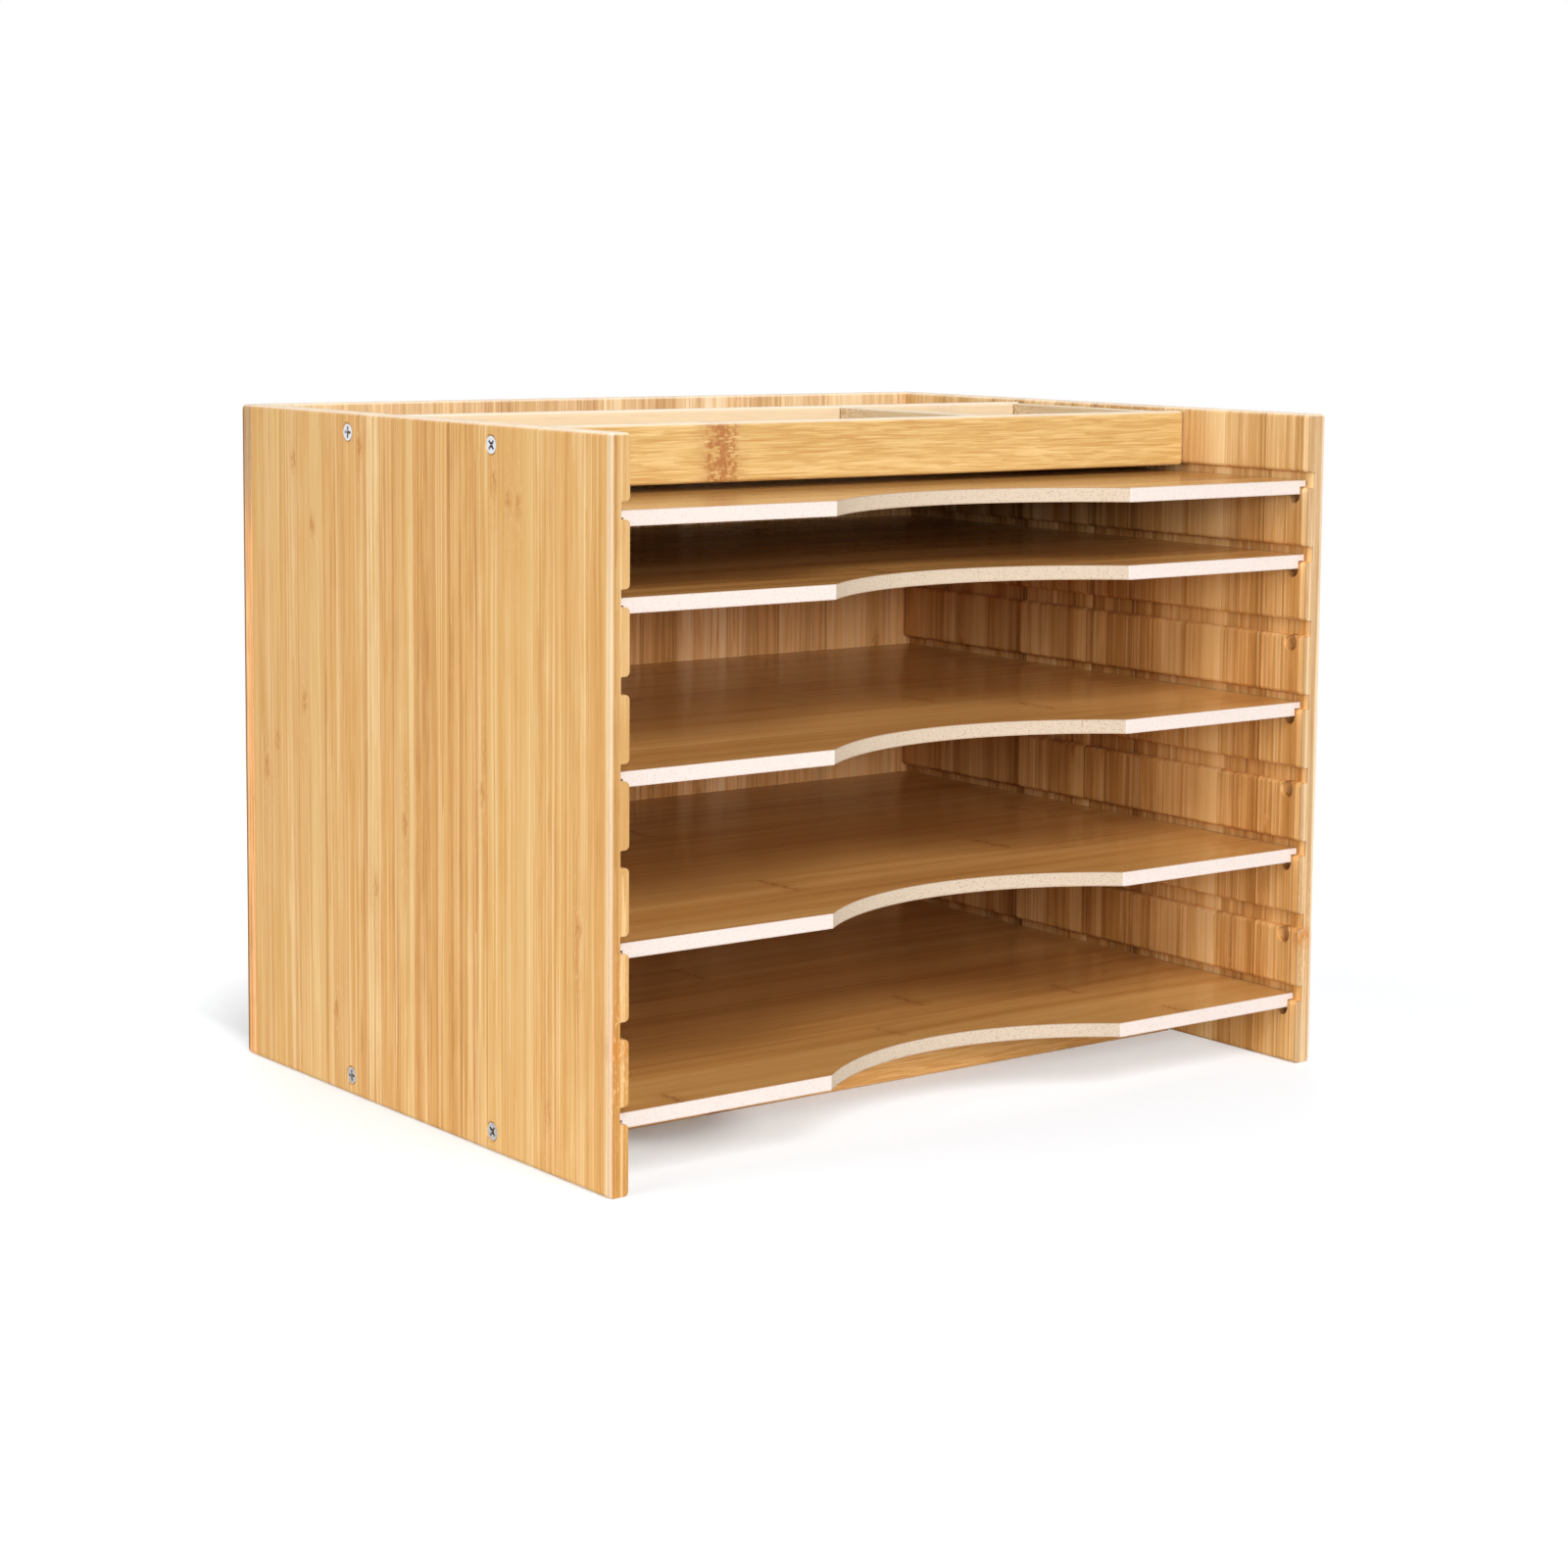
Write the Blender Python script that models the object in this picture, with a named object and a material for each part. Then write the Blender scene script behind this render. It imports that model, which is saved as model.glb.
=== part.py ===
"""Desktop file sorter: two grooved bamboo sides, a back, a top tray, two bottom rails
and five removable shelves that slide in the grooves. Metres, +Z up, front towards -Y,
origin on the surface it stands on, under the middle of the overall box."""

import math

import bmesh
import bpy
from mathutils import Matrix, Vector

# Overall size.
OVERALL_WIDTH = 0.338
OVERALL_DEPTH = 0.260
OVERALL_HEIGHT = 0.260

# Free space left between pieces that touch.
CONTACT_GAP = 0.0003

# Side panels and back panel.
SIDE_THICKNESS = 0.008
BACK_THICKNESS = 0.008
PANEL_EDGE_RADIUS = 0.0018
SIDE_FRONT_RADIUS = 0.0013
SEAM_EDGE_RADIUS = 0.0006

# Shelf grooves in the inner faces of the sides.
GROOVE_COUNT = 8
LOWEST_GROOVE_FLOOR = 0.0252
TOP_GROOVE_DROP = 0.029
GROOVE_HEIGHT = 0.006
GROOVE_DEPTH = 0.0035
GROOVE_LIP_RADIUS = 0.0017

# Blind round hole under the front of each groove.
STOP_HOLE_RADIUS = 0.0033
STOP_HOLE_SETBACK = 0.008
STOP_HOLE_DROP = 0.0031
STOP_HOLE_DEPTH = 0.004

# Shelves.
SHELF_THICKNESS = 0.0055
TONGUE_THICKNESS = 0.0025
TONGUE_END_CLEARANCE = 0.0007
SHELF_SIDE_CLEARANCE = 0.0003
SHELF_SETBACK = 0.0045
SHELF_REAR_CLEARANCE = 0.001
CUTOUT_WIDTH = 0.141
CUTOUT_DEPTH = 0.025

# Top tray.
TRAY_BOARD_THICKNESS = 0.008
TRAY_BOARD_HEIGHT = 0.022
TRAY_TOP_DROP = 0.0015
TRAY_SETBACK = 0.071
TRAY_DEPTH = 0.109
TRAY_END_THICKNESS = 0.005
TRAY_DIVIDER_THICKNESS = 0.005
RIGHT_COMPARTMENT_WIDTH = 0.090
PARTITION_DROP = 0.0005
TRAY_BASE_THICKNESS = 0.004
TRAY_BASE_LIFT = 0.002
TRAY_BASE_INSET = 0.003
BOARD_EDGE_RADIUS = 0.0014
PARTITION_EDGE_RADIUS = 0.0008

# Bottom rails.
RAIL_THICKNESS = 0.008
RAIL_HEIGHT = 0.022

# Countersunk wood screws.
SCREW_LENGTH = 0.025
SCREW_HEAD_RADIUS = 0.0032
SCREW_SHANK_RADIUS = 0.0017
SCREW_TIP_LENGTH = 0.004
SCREW_SINK = 0.0003
SCREW_HOLE_CLEARANCE = 0.0003
COUNTERSINK_MARGIN = 0.0003
RECESS_WIDTH = 0.0008
RECESS_SPAN = 0.0036
RECESS_DEPTH = 0.0012
SCREW_EDGE_DISTANCE = 0.0075

# Facets: on turned pieces, on a quarter of a rounded edge and on the shelf's cut-out.
TURNED_SEGMENTS = 20
EDGE_SEGMENTS = 3
CUTOUT_SEGMENTS = 24

# How far a cutter reaches past the wood it cuts.
OVERRUN = 0.002

# Places that several pieces share.
FRONT = -OVERALL_DEPTH / 2
REAR = OVERALL_DEPTH / 2
BACK_FACE = REAR - BACK_THICKNESS
SIDE_REAR = BACK_FACE - CONTACT_GAP
HALF_WIDTH = OVERALL_WIDTH / 2
INNER_HALF = HALF_WIDTH - SIDE_THICKNESS
GROOVE_WALL = INNER_HALF + GROOVE_DEPTH
TOP_GROOVE_FLOOR = OVERALL_HEIGHT - TOP_GROOVE_DROP
GROOVE_PITCH = (TOP_GROOVE_FLOOR - LOWEST_GROOVE_FLOOR) / (GROOVE_COUNT - 1)
GROOVE_FLOORS = [LOWEST_GROOVE_FLOOR + GROOVE_PITCH * n for n in range(GROOVE_COUNT)]

TRAY_TOP = OVERALL_HEIGHT - TRAY_TOP_DROP
TRAY_BOTTOM = TRAY_TOP - TRAY_BOARD_HEIGHT
TRAY_FRONT = FRONT + TRAY_SETBACK
TRAY_REAR = TRAY_FRONT + TRAY_DEPTH
FRONT_BOARD_INNER = TRAY_FRONT + TRAY_BOARD_THICKNESS
REAR_BOARD_INNER = TRAY_REAR - TRAY_BOARD_THICKNESS
CROSS_HALF = INNER_HALF - CONTACT_GAP
END_INNER = CROSS_HALF - TRAY_END_THICKNESS
DIVIDER_RIGHT = END_INNER - RIGHT_COMPARTMENT_WIDTH
BASE_BOTTOM = TRAY_BOTTOM + TRAY_BASE_LIFT
BASE_TOP = BASE_BOTTOM + TRAY_BASE_THICKNESS

# The cross boards and rails are screwed through the sides at two places along the depth.
FRONT_SCREW_LINE = TRAY_FRONT + TRAY_BOARD_THICKNESS / 2
REAR_SCREW_LINE = TRAY_REAR - TRAY_BOARD_THICKNESS / 2
LOW_SCREW_LEVEL = SCREW_EDGE_DISTANCE
HIGH_SCREW_LEVEL = OVERALL_HEIGHT - SCREW_EDGE_DISTANCE
SIDE_SCREWS = {
    "tray_front": (FRONT_SCREW_LINE, HIGH_SCREW_LEVEL),
    "tray_rear": (REAR_SCREW_LINE, HIGH_SCREW_LEVEL),
    "rail_front": (FRONT_SCREW_LINE, LOW_SCREW_LEVEL),
    "rail_rear": (REAR_SCREW_LINE, LOW_SCREW_LEVEL),
}

# The back is screwed to the sides' rear edges, in the solid wood clear of the grooves.
BACK_SCREWS = {
    "bottom": LOWEST_GROOVE_FLOOR / 2,
    "middle": GROOVE_FLOORS[GROOVE_COUNT // 2] - (GROOVE_PITCH - GROOVE_HEIGHT) / 2,
    "top": (TOP_GROOVE_FLOOR + GROOVE_HEIGHT + OVERALL_HEIGHT) / 2,
}

X_AXIS = Vector((1, 0, 0))
Y_AXIS = Vector((0, 1, 0))


def clear_scene():
    for item in list(bpy.data.objects):
        bpy.data.objects.remove(item)


def principled(name, colour, roughness, metallic=0.0):
    material = bpy.data.materials.new(name)
    material.use_nodes = True
    shader = material.node_tree.nodes["Principled BSDF"]
    shader.inputs["Base Color"].default_value = (*colour, 1.0)
    shader.inputs["Roughness"].default_value = roughness
    shader.inputs["Metallic"].default_value = metallic
    return material


def add_object(name, bm, material=None):
    """Put a bmesh into the scene, with its faces turned outwards."""
    bmesh.ops.recalc_face_normals(bm, faces=bm.faces)
    mesh = bpy.data.meshes.new(name)
    bm.to_mesh(mesh)
    bm.free()
    if material:
        mesh.materials.append(material)
    item = bpy.data.objects.new(name, mesh)
    bpy.context.scene.collection.objects.link(item)
    return item


def add_box(bm, low, high):
    size = Vector(high) - Vector(low)
    middle = (Vector(high) + Vector(low)) / 2
    place = Matrix.Translation(middle) @ Matrix.Diagonal((*size, 1.0))
    return bmesh.ops.create_cube(bm, size=1.0, matrix=place)["verts"]


def add_prism(bm, outline, place, start, end):
    """Extrude a closed 2D outline; place(u, v, w) turns its points into 3D ones."""
    near = [bm.verts.new(place(u, v, start)) for u, v in outline]
    far = [bm.verts.new(place(u, v, end)) for u, v in outline]
    bm.faces.new(near)
    bm.faces.new(list(reversed(far)))
    for a in range(len(outline)):
        b = (a + 1) % len(outline)
        bm.faces.new((near[b], near[a], far[a], far[b]))


def add_turned(bm, profile, start, direction):
    """Turn (radius, distance) pairs about a line; the first and last radius are capped."""
    turn = direction.to_track_quat("Z", "X").to_matrix()
    rings = []
    for radius, distance in profile:
        ring = []
        for step in range(TURNED_SEGMENTS):
            angle = math.tau * step / TURNED_SEGMENTS
            spoke = Vector((radius * math.cos(angle), radius * math.sin(angle), distance))
            ring.append(bm.verts.new(start + turn @ spoke))
        rings.append(ring)
    for lower, upper in zip(rings, rings[1:]):
        for a in range(TURNED_SEGMENTS):
            b = (a + 1) % TURNED_SEGMENTS
            bm.faces.new((lower[a], lower[b], upper[b], upper[a]))
    bm.faces.new(list(reversed(rings[0])))
    bm.faces.new(rings[-1])


def add_rounded(name, bm, material, radius, radius_of):
    """Add a piece with rounded edges; radius_of(edge) is 0 for a sharp one, radius at most."""
    weights = bm.edges.layers.float.new("bevel_weight_edge")
    for edge in bm.edges:
        edge[weights] = radius_of(edge) / radius
    piece = add_object(name, bm, material)
    bevel = piece.modifiers.new("rounded edges", "BEVEL")
    bevel.limit_method = "WEIGHT"
    bevel.width = radius
    bevel.segments = EDGE_SEGMENTS
    return piece


def lies_at(edge, axis, place):
    return all(abs(vert.co[axis] - place) < CONTACT_GAP for vert in edge.verts)


def rounded_board(name, low, high, radius, material, seam=None):
    """A board with rounded edges; the edges of its seam face, (axis, sign), are only broken."""
    bm = bmesh.new()
    add_box(bm, low, high)

    def radius_of(edge):
        if seam and lies_at(edge, seam[0], (high if seam[1] > 0 else low)[seam[0]]):
            return SEAM_EDGE_RADIUS
        return radius

    return add_rounded(name, bm, material, radius, radius_of)


def cut(target, name, bm):
    """Cut a bmesh out of a piece, as a hidden wire object of its own."""
    cutter = add_object(name, bm)
    cutter.hide_render = True
    cutter.display_type = "WIRE"
    cutter.parent = target
    cutter.matrix_parent_inverse = target.matrix_world.inverted()
    modifier = target.modifiers.new(name, "BOOLEAN")
    modifier.operation = "DIFFERENCE"
    modifier.solver = "EXACT"
    modifier.object = cutter


def quarter_arc(centre, radius, first, last):
    """Points of a quarter circle, from one angle to another, in degrees."""
    points = []
    for step in range(EDGE_SEGMENTS + 1):
        angle = math.radians(first + (last - first) * step / EDGE_SEGMENTS)
        x = centre[0] + radius * math.cos(angle)
        z = centre[1] + radius * math.sin(angle)
        points.append((x, z))
    return points


def groove_outline(floor):
    """Section of a groove, upwards; the mouth's two lips are rounded."""
    ceiling = floor + GROOVE_HEIGHT
    lip = GROOVE_LIP_RADIUS
    lower_lip = quarter_arc((lip, floor - lip), lip, 180, 90)
    upper_lip = quarter_arc((lip, ceiling + lip), lip, 270, 180)
    return lower_lip + [(GROOVE_DEPTH, floor), (GROOVE_DEPTH, ceiling)] + upper_lip


def side_outline():
    """Section of a side panel: u from the inner face into the wood, v up."""
    radius = PANEL_EDGE_RADIUS
    top = OVERALL_HEIGHT - radius
    outer = SIDE_THICKNESS - radius
    points = quarter_arc((radius, radius), radius, 270, 180)
    for floor in GROOVE_FLOORS:
        points += groove_outline(floor)
    points += quarter_arc((radius, top), radius, 180, 90)
    points += quarter_arc((outer, top), radius, 90, 0)
    points += quarter_arc((outer, radius), radius, 0, -90)
    return points


def screw_hole_profile(thickness):
    """Countersink and clearance hole through a panel, from outside its outer face."""
    head = SCREW_HEAD_RADIUS + COUNTERSINK_MARGIN + SCREW_SINK
    shank = SCREW_SHANK_RADIUS + SCREW_HOLE_CLEARANCE
    return [
        (head, -OVERRUN),
        (head, 0.0),
        (shank, head - shank),
        (shank, thickness + OVERRUN),
    ]


def pilot_profile(panel_thickness):
    """Pilot hole past a panel, measured from the panel's outer face."""
    radius = SCREW_SHANK_RADIUS + SCREW_HOLE_CLEARANCE
    end = SCREW_SINK + SCREW_LENGTH + SCREW_HOLE_CLEARANCE
    return [(radius, panel_thickness - OVERRUN), (radius, end)]


def screw_profile():
    """Flat head, 90 degree cone, straight shank and pointed tip."""
    cone = SCREW_HEAD_RADIUS - SCREW_SHANK_RADIUS
    tip = SCREW_SHANK_RADIUS / 8
    return [
        (SCREW_HEAD_RADIUS, 0.0),
        (SCREW_SHANK_RADIUS, cone),
        (SCREW_SHANK_RADIUS, SCREW_LENGTH - SCREW_TIP_LENGTH),
        (tip, SCREW_LENGTH),
    ]


def add_cross_recess(bm, start, direction):
    """A cross, standing on the screw's axis, that cuts the driver's recess."""
    turn = direction.to_track_quat("Z", "X").to_matrix()
    arm = RECESS_SPAN / 2
    half = RECESS_WIDTH / 2
    outline = []
    for quarter in range(4):
        spin = Matrix.Rotation(math.radians(90 * quarter), 2)
        for corner in ((arm, -half), (arm, half), (half, half)):
            point = spin @ Vector(corner)
            outline.append((point.x, point.y))

    def place(u, v, w):
        return start + turn @ Vector((u, v, w))

    add_prism(bm, outline, place, -OVERRUN, RECESS_DEPTH)


def make_screw(name, head, direction, material):
    """A wood screw driven in along direction; head is a point on the panel's outer face."""
    start = head + direction * SCREW_SINK
    bm = bmesh.new()
    add_turned(bm, screw_profile(), start, direction)
    screw = add_object(name, bm, material)
    recess = bmesh.new()
    add_cross_recess(recess, start, direction)
    cut(screw, name + "_recess_cutter", recess)


def side_screw_head(side, place):
    line, level = place
    return Vector((side * HALF_WIDTH, line, level))


def back_screw_head(side, level):
    return Vector((side * (HALF_WIDTH + INNER_HALF) / 2, REAR, level))


def make_side(name, side, material):
    """A side panel: side is -1 for the left one and +1 for the right one."""
    inner = side * INNER_HALF

    def place(u, v, w):
        return (inner + side * u, w, v)

    def radius_of(edge):
        if lies_at(edge, 1, FRONT):
            return SIDE_FRONT_RADIUS
        if lies_at(edge, 1, SIDE_REAR):
            return SEAM_EDGE_RADIUS
        return 0.0

    body = bmesh.new()
    add_prism(body, side_outline(), place, FRONT, SIDE_REAR)
    panel = add_rounded(name, body, material, SIDE_FRONT_RADIUS, radius_of)

    stops = bmesh.new()
    outward = X_AXIS * side
    for floor in GROOVE_FLOORS:
        centre = Vector((inner, FRONT + STOP_HOLE_SETBACK, floor - STOP_HOLE_DROP))
        profile = [(STOP_HOLE_RADIUS, -OVERRUN), (STOP_HOLE_RADIUS, STOP_HOLE_DEPTH)]
        add_turned(stops, profile, centre, outward)
    cut(panel, name + "_stop_hole_cutter", stops)

    holes = bmesh.new()
    for place in SIDE_SCREWS.values():
        add_turned(holes, screw_hole_profile(SIDE_THICKNESS), side_screw_head(side, place), -outward)
    for level in BACK_SCREWS.values():
        add_turned(holes, pilot_profile(BACK_THICKNESS), back_screw_head(side, level), -Y_AXIS)
    cut(panel, name + "_screw_hole_cutter", holes)


def make_back(material):
    low = (-HALF_WIDTH, BACK_FACE, 0.0)
    high = (HALF_WIDTH, REAR, OVERALL_HEIGHT)
    panel = rounded_board("back_panel", low, high, PANEL_EDGE_RADIUS, material, seam=(1, -1))
    holes = bmesh.new()
    for side in (-1, 1):
        for level in BACK_SCREWS.values():
            head = back_screw_head(side, level)
            add_turned(holes, screw_hole_profile(BACK_THICKNESS), head, -Y_AXIS)
    cut(panel, "back_panel_screw_hole_cutter", holes)


def make_cross_board(name, front, thickness, bottom, height, screw, material):
    """A board from side to side, with a pilot hole in each end."""
    low = (-CROSS_HALF, front, bottom)
    high = (CROSS_HALF, front + thickness, bottom + height)
    board = rounded_board(name, low, high, BOARD_EDGE_RADIUS, material)
    pilots = bmesh.new()
    for side in (-1, 1):
        head = side_screw_head(side, screw)
        add_turned(pilots, pilot_profile(SIDE_THICKNESS), head, X_AXIS * -side)
    cut(board, name + "_pilot_cutter", pilots)
    return board


def cut_base_groove(board, low, high):
    groove = bmesh.new()
    add_box(groove, low, high)
    cut(board, board.name + "_base_groove_cutter", groove)


def make_tray(bamboo, base_material):
    groove_low = BASE_BOTTOM - CONTACT_GAP
    groove_high = BASE_TOP + CONTACT_GAP
    reach = CROSS_HALF + OVERRUN

    front = make_cross_board("tray_front_board", TRAY_FRONT, TRAY_BOARD_THICKNESS,
                             TRAY_BOTTOM, TRAY_BOARD_HEIGHT, SIDE_SCREWS["tray_front"], bamboo)
    cut_base_groove(front, (-reach, FRONT_BOARD_INNER - TRAY_BASE_INSET, groove_low),
                    (reach, FRONT_BOARD_INNER + OVERRUN, groove_high))
    rear = make_cross_board("tray_rear_board", REAR_BOARD_INNER, TRAY_BOARD_THICKNESS,
                            TRAY_BOTTOM, TRAY_BOARD_HEIGHT, SIDE_SCREWS["tray_rear"], bamboo)
    cut_base_groove(rear, (-reach, REAR_BOARD_INNER - OVERRUN, groove_low),
                    (reach, REAR_BOARD_INNER + TRAY_BASE_INSET, groove_high))

    between = (FRONT_BOARD_INNER + CONTACT_GAP, REAR_BOARD_INNER - CONTACT_GAP)
    partition_top = TRAY_TOP - PARTITION_DROP
    for name, side in (("tray_left_end", -1), ("tray_right_end", 1)):
        faces = sorted((side * CROSS_HALF, side * END_INNER))
        end = rounded_board(name, (faces[0], between[0], TRAY_BOTTOM),
                            (faces[1], between[1], partition_top), PARTITION_EDGE_RADIUS, bamboo)
        span = sorted((side * (END_INNER - OVERRUN), side * (END_INNER + TRAY_BASE_INSET)))
        cut_base_groove(end, (span[0], between[0] - OVERRUN, groove_low),
                        (span[1], between[1] + OVERRUN, groove_high))

    rounded_board("tray_divider",
                  (DIVIDER_RIGHT - TRAY_DIVIDER_THICKNESS, between[0], BASE_TOP + CONTACT_GAP),
                  (DIVIDER_RIGHT, between[1], partition_top), PARTITION_EDGE_RADIUS, bamboo)

    base = bmesh.new()
    reach = END_INNER + TRAY_BASE_INSET - CONTACT_GAP
    add_box(base, (-reach, FRONT_BOARD_INNER - TRAY_BASE_INSET + CONTACT_GAP, BASE_BOTTOM),
            (reach, REAR_BOARD_INNER + TRAY_BASE_INSET - CONTACT_GAP, BASE_TOP))
    add_object("tray_base", base, base_material)


def make_rails(material):
    for name, screw in (("front_bottom_rail", "rail_front"), ("rear_bottom_rail", "rail_rear")):
        place = SIDE_SCREWS[screw]
        make_cross_board(name, place[0] - RAIL_THICKNESS / 2, RAIL_THICKNESS,
                         0.0, RAIL_HEIGHT, place, material)


def shelf_outline():
    """Plan of a shelf with its tongues; the front edge is v = 0, with a shallow arc cut in."""
    half = GROOVE_WALL - TONGUE_END_CLEARANCE
    depth = BACK_FACE - SHELF_REAR_CLEARANCE - (FRONT + SHELF_SETBACK)
    half_chord = CUTOUT_WIDTH / 2
    radius = (half_chord ** 2 + CUTOUT_DEPTH ** 2) / (2 * CUTOUT_DEPTH)
    sweep = math.asin(half_chord / radius)
    arc = []
    for step in range(CUTOUT_SEGMENTS + 1):
        angle = sweep * (2 * step / CUTOUT_SEGMENTS - 1)
        arc.append((radius * math.sin(angle), CUTOUT_DEPTH - radius * (1 - math.cos(angle))))
    return [(-half, 0.0)] + arc + [(half, 0.0), (half, depth), (-half, depth)]


def make_shelf(name, floor, material):
    """A shelf whose tongues rest on the groove floors; its origin is on its slide line."""
    outline = shelf_outline()
    half = max(u for u, _ in outline)
    depth = max(v for _, v in outline)
    origin = Vector((0.0, FRONT + SHELF_SETBACK, floor + CONTACT_GAP + TONGUE_THICKNESS))

    slab = bmesh.new()
    add_prism(slab, outline, lambda u, v, w: (u, v, w), -SHELF_THICKNESS, 0.0)
    shelf = add_object(name, slab, material)
    shelf.location = origin
    bpy.context.view_layer.update()

    body_half = INNER_HALF - SHELF_SIDE_CLEARANCE
    rabbets = bmesh.new()
    for side in (-1, 1):
        span = sorted((side * body_half, side * (half + OVERRUN)))
        low = Vector((span[0], -OVERRUN, -SHELF_THICKNESS - OVERRUN))
        high = Vector((span[1], depth + OVERRUN, -TONGUE_THICKNESS))
        add_box(rabbets, origin + low, origin + high)
    cut(shelf, name + "_rabbet_cutter", rabbets)
    return shelf


def shelf_floors():
    """The top groove and every second one from the bottom hold a shelf, named from the top."""
    used = set(GROOVE_FLOORS[::2]) | {GROOVE_FLOORS[-1]}
    return sorted(used, reverse=True)


def build():
    clear_scene()
    bamboo = principled("bamboo", (0.75, 0.47, 0.19), 0.45)
    tray_bamboo = principled("tray_bamboo", (0.78, 0.50, 0.18), 0.42)
    printed_board = principled("printed_board", (0.55, 0.30, 0.09), 0.40)
    tray_board = principled("tray_board", (0.62, 0.40, 0.18), 0.50)
    zinc = principled("zinc", (0.72, 0.73, 0.75), 0.28, 1.0)

    for word, side in (("left", -1), ("right", 1)):
        make_side(word + "_side_panel", side, bamboo)
        for spot, place in SIDE_SCREWS.items():
            make_screw(f"{word}_{spot}_screw", side_screw_head(side, place), X_AXIS * -side, zinc)
        for spot, level in BACK_SCREWS.items():
            make_screw(f"back_{word}_{spot}_screw", back_screw_head(side, level), -Y_AXIS, zinc)
    make_back(bamboo)
    make_tray(tray_bamboo, tray_board)
    make_rails(tray_bamboo)
    for number, floor in enumerate(shelf_floors(), start=1):
        make_shelf(f"shelf_{number}", floor, printed_board)


build()
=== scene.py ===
"""The looks of a desktop file sorter: lacquered bamboo boards, printed fibreboard shelves
and zinc plated screws, on a pale floor in soft studio light. Metres, +Z up."""

import math

import bpy
from bpy.props import FloatProperty, FloatVectorProperty, IntProperty, PointerProperty
from bpy.types import Operator, Panel, PropertyGroup
from mathutils import Matrix, Vector


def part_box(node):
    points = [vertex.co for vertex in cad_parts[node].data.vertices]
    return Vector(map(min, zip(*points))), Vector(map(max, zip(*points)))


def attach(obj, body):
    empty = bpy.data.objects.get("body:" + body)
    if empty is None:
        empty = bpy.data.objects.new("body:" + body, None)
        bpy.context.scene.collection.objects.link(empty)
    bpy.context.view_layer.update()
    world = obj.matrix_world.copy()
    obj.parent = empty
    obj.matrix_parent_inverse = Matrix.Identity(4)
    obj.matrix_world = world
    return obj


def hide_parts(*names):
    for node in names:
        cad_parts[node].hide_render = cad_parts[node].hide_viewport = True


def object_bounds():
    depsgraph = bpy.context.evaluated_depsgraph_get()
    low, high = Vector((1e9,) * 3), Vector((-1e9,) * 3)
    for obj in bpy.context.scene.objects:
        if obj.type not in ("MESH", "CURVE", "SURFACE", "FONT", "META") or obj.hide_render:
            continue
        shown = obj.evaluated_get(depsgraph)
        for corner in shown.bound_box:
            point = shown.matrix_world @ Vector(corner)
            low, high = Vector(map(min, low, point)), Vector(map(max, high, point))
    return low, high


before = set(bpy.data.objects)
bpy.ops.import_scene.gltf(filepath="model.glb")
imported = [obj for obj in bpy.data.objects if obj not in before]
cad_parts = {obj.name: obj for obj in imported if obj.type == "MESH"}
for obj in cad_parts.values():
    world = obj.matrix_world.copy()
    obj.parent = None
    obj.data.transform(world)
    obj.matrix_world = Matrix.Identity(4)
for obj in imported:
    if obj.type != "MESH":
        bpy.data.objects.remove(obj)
CAD_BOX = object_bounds()

bl_info = {
    "name": "Desktop File Sorter Looks",
    "version": (1, 0, 0),
    "blender": (4, 5, 0),
    "location": "3D View > Sidebar > File Sorter",
    "description": "Finishes a bamboo desktop file sorter and sets up its studio",
    "category": "Object",
}

SIDE_PANELS = ("left_side_panel", "right_side_panel")
TRAY_SHORT_BOARDS = ("tray_left_end", "tray_right_end", "tray_divider")
RAILS = ("front_bottom_rail", "rear_bottom_rail")
SHELVES = tuple(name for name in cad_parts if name.startswith("shelf_"))
SCREWS = tuple(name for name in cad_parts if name.endswith("_screw"))
FIXED_BODY = "frame"
WHITE = (1.0, 1.0, 1.0)

# How much further along the grain than the front board's these boards' nodes lie.
REAR_BOARD_SHIFT = 0.19
BASE_SHIFT = 0.08

# Where on the print the lowest shelf lies, and how much further each next one.
FIRST_PRINT = 0.9
NEXT_PRINT = 0.37

# How far the first screw is turned, and how much further each next one, in degrees.
FIRST_SPIN = 25.0
NEXT_SPIN = 137.5

# Room round a screw's thread in its hole, and points along a screw's outline.
THREAD_ROOM = 0.0001
OUTLINE_STATIONS = 110


# Settings ------------------------


def colour_prop(name, description, default):
    return FloatVectorProperty(name=name, description=description, default=default,
                               subtype="COLOR", size=3)


def length_prop(name, description, default, least=0.0):
    return FloatProperty(name=name, description=description, default=default, min=least, unit="LENGTH")


def share_prop(name, description, default):
    return FloatProperty(name=name, description=description, default=default, min=0.0, max=1.0,
                         subtype="FACTOR")


def amount_prop(name, description, default):
    return FloatProperty(name=name, description=description, default=default, min=0.0)


def power_prop(name, description, default):
    return FloatProperty(name=name, description=description, default=default, min=0.0, unit="POWER")


def angle_prop(name, description, degrees):
    return FloatProperty(name=name, description=description, default=math.radians(degrees),
                         subtype="ANGLE")


def count_prop(name, description, default, least):
    return IntProperty(name=name, description=description, default=default, min=least)


# Node trees ------------------------


def operation(kind, swapped=False):
    """A method that adds a Math node for a value and another one, or for the value alone."""
    def method(self, *other):
        values = (*other, self) if swapped else (self, *other)
        return self.graph.math(kind, *values)
    return method


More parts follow.
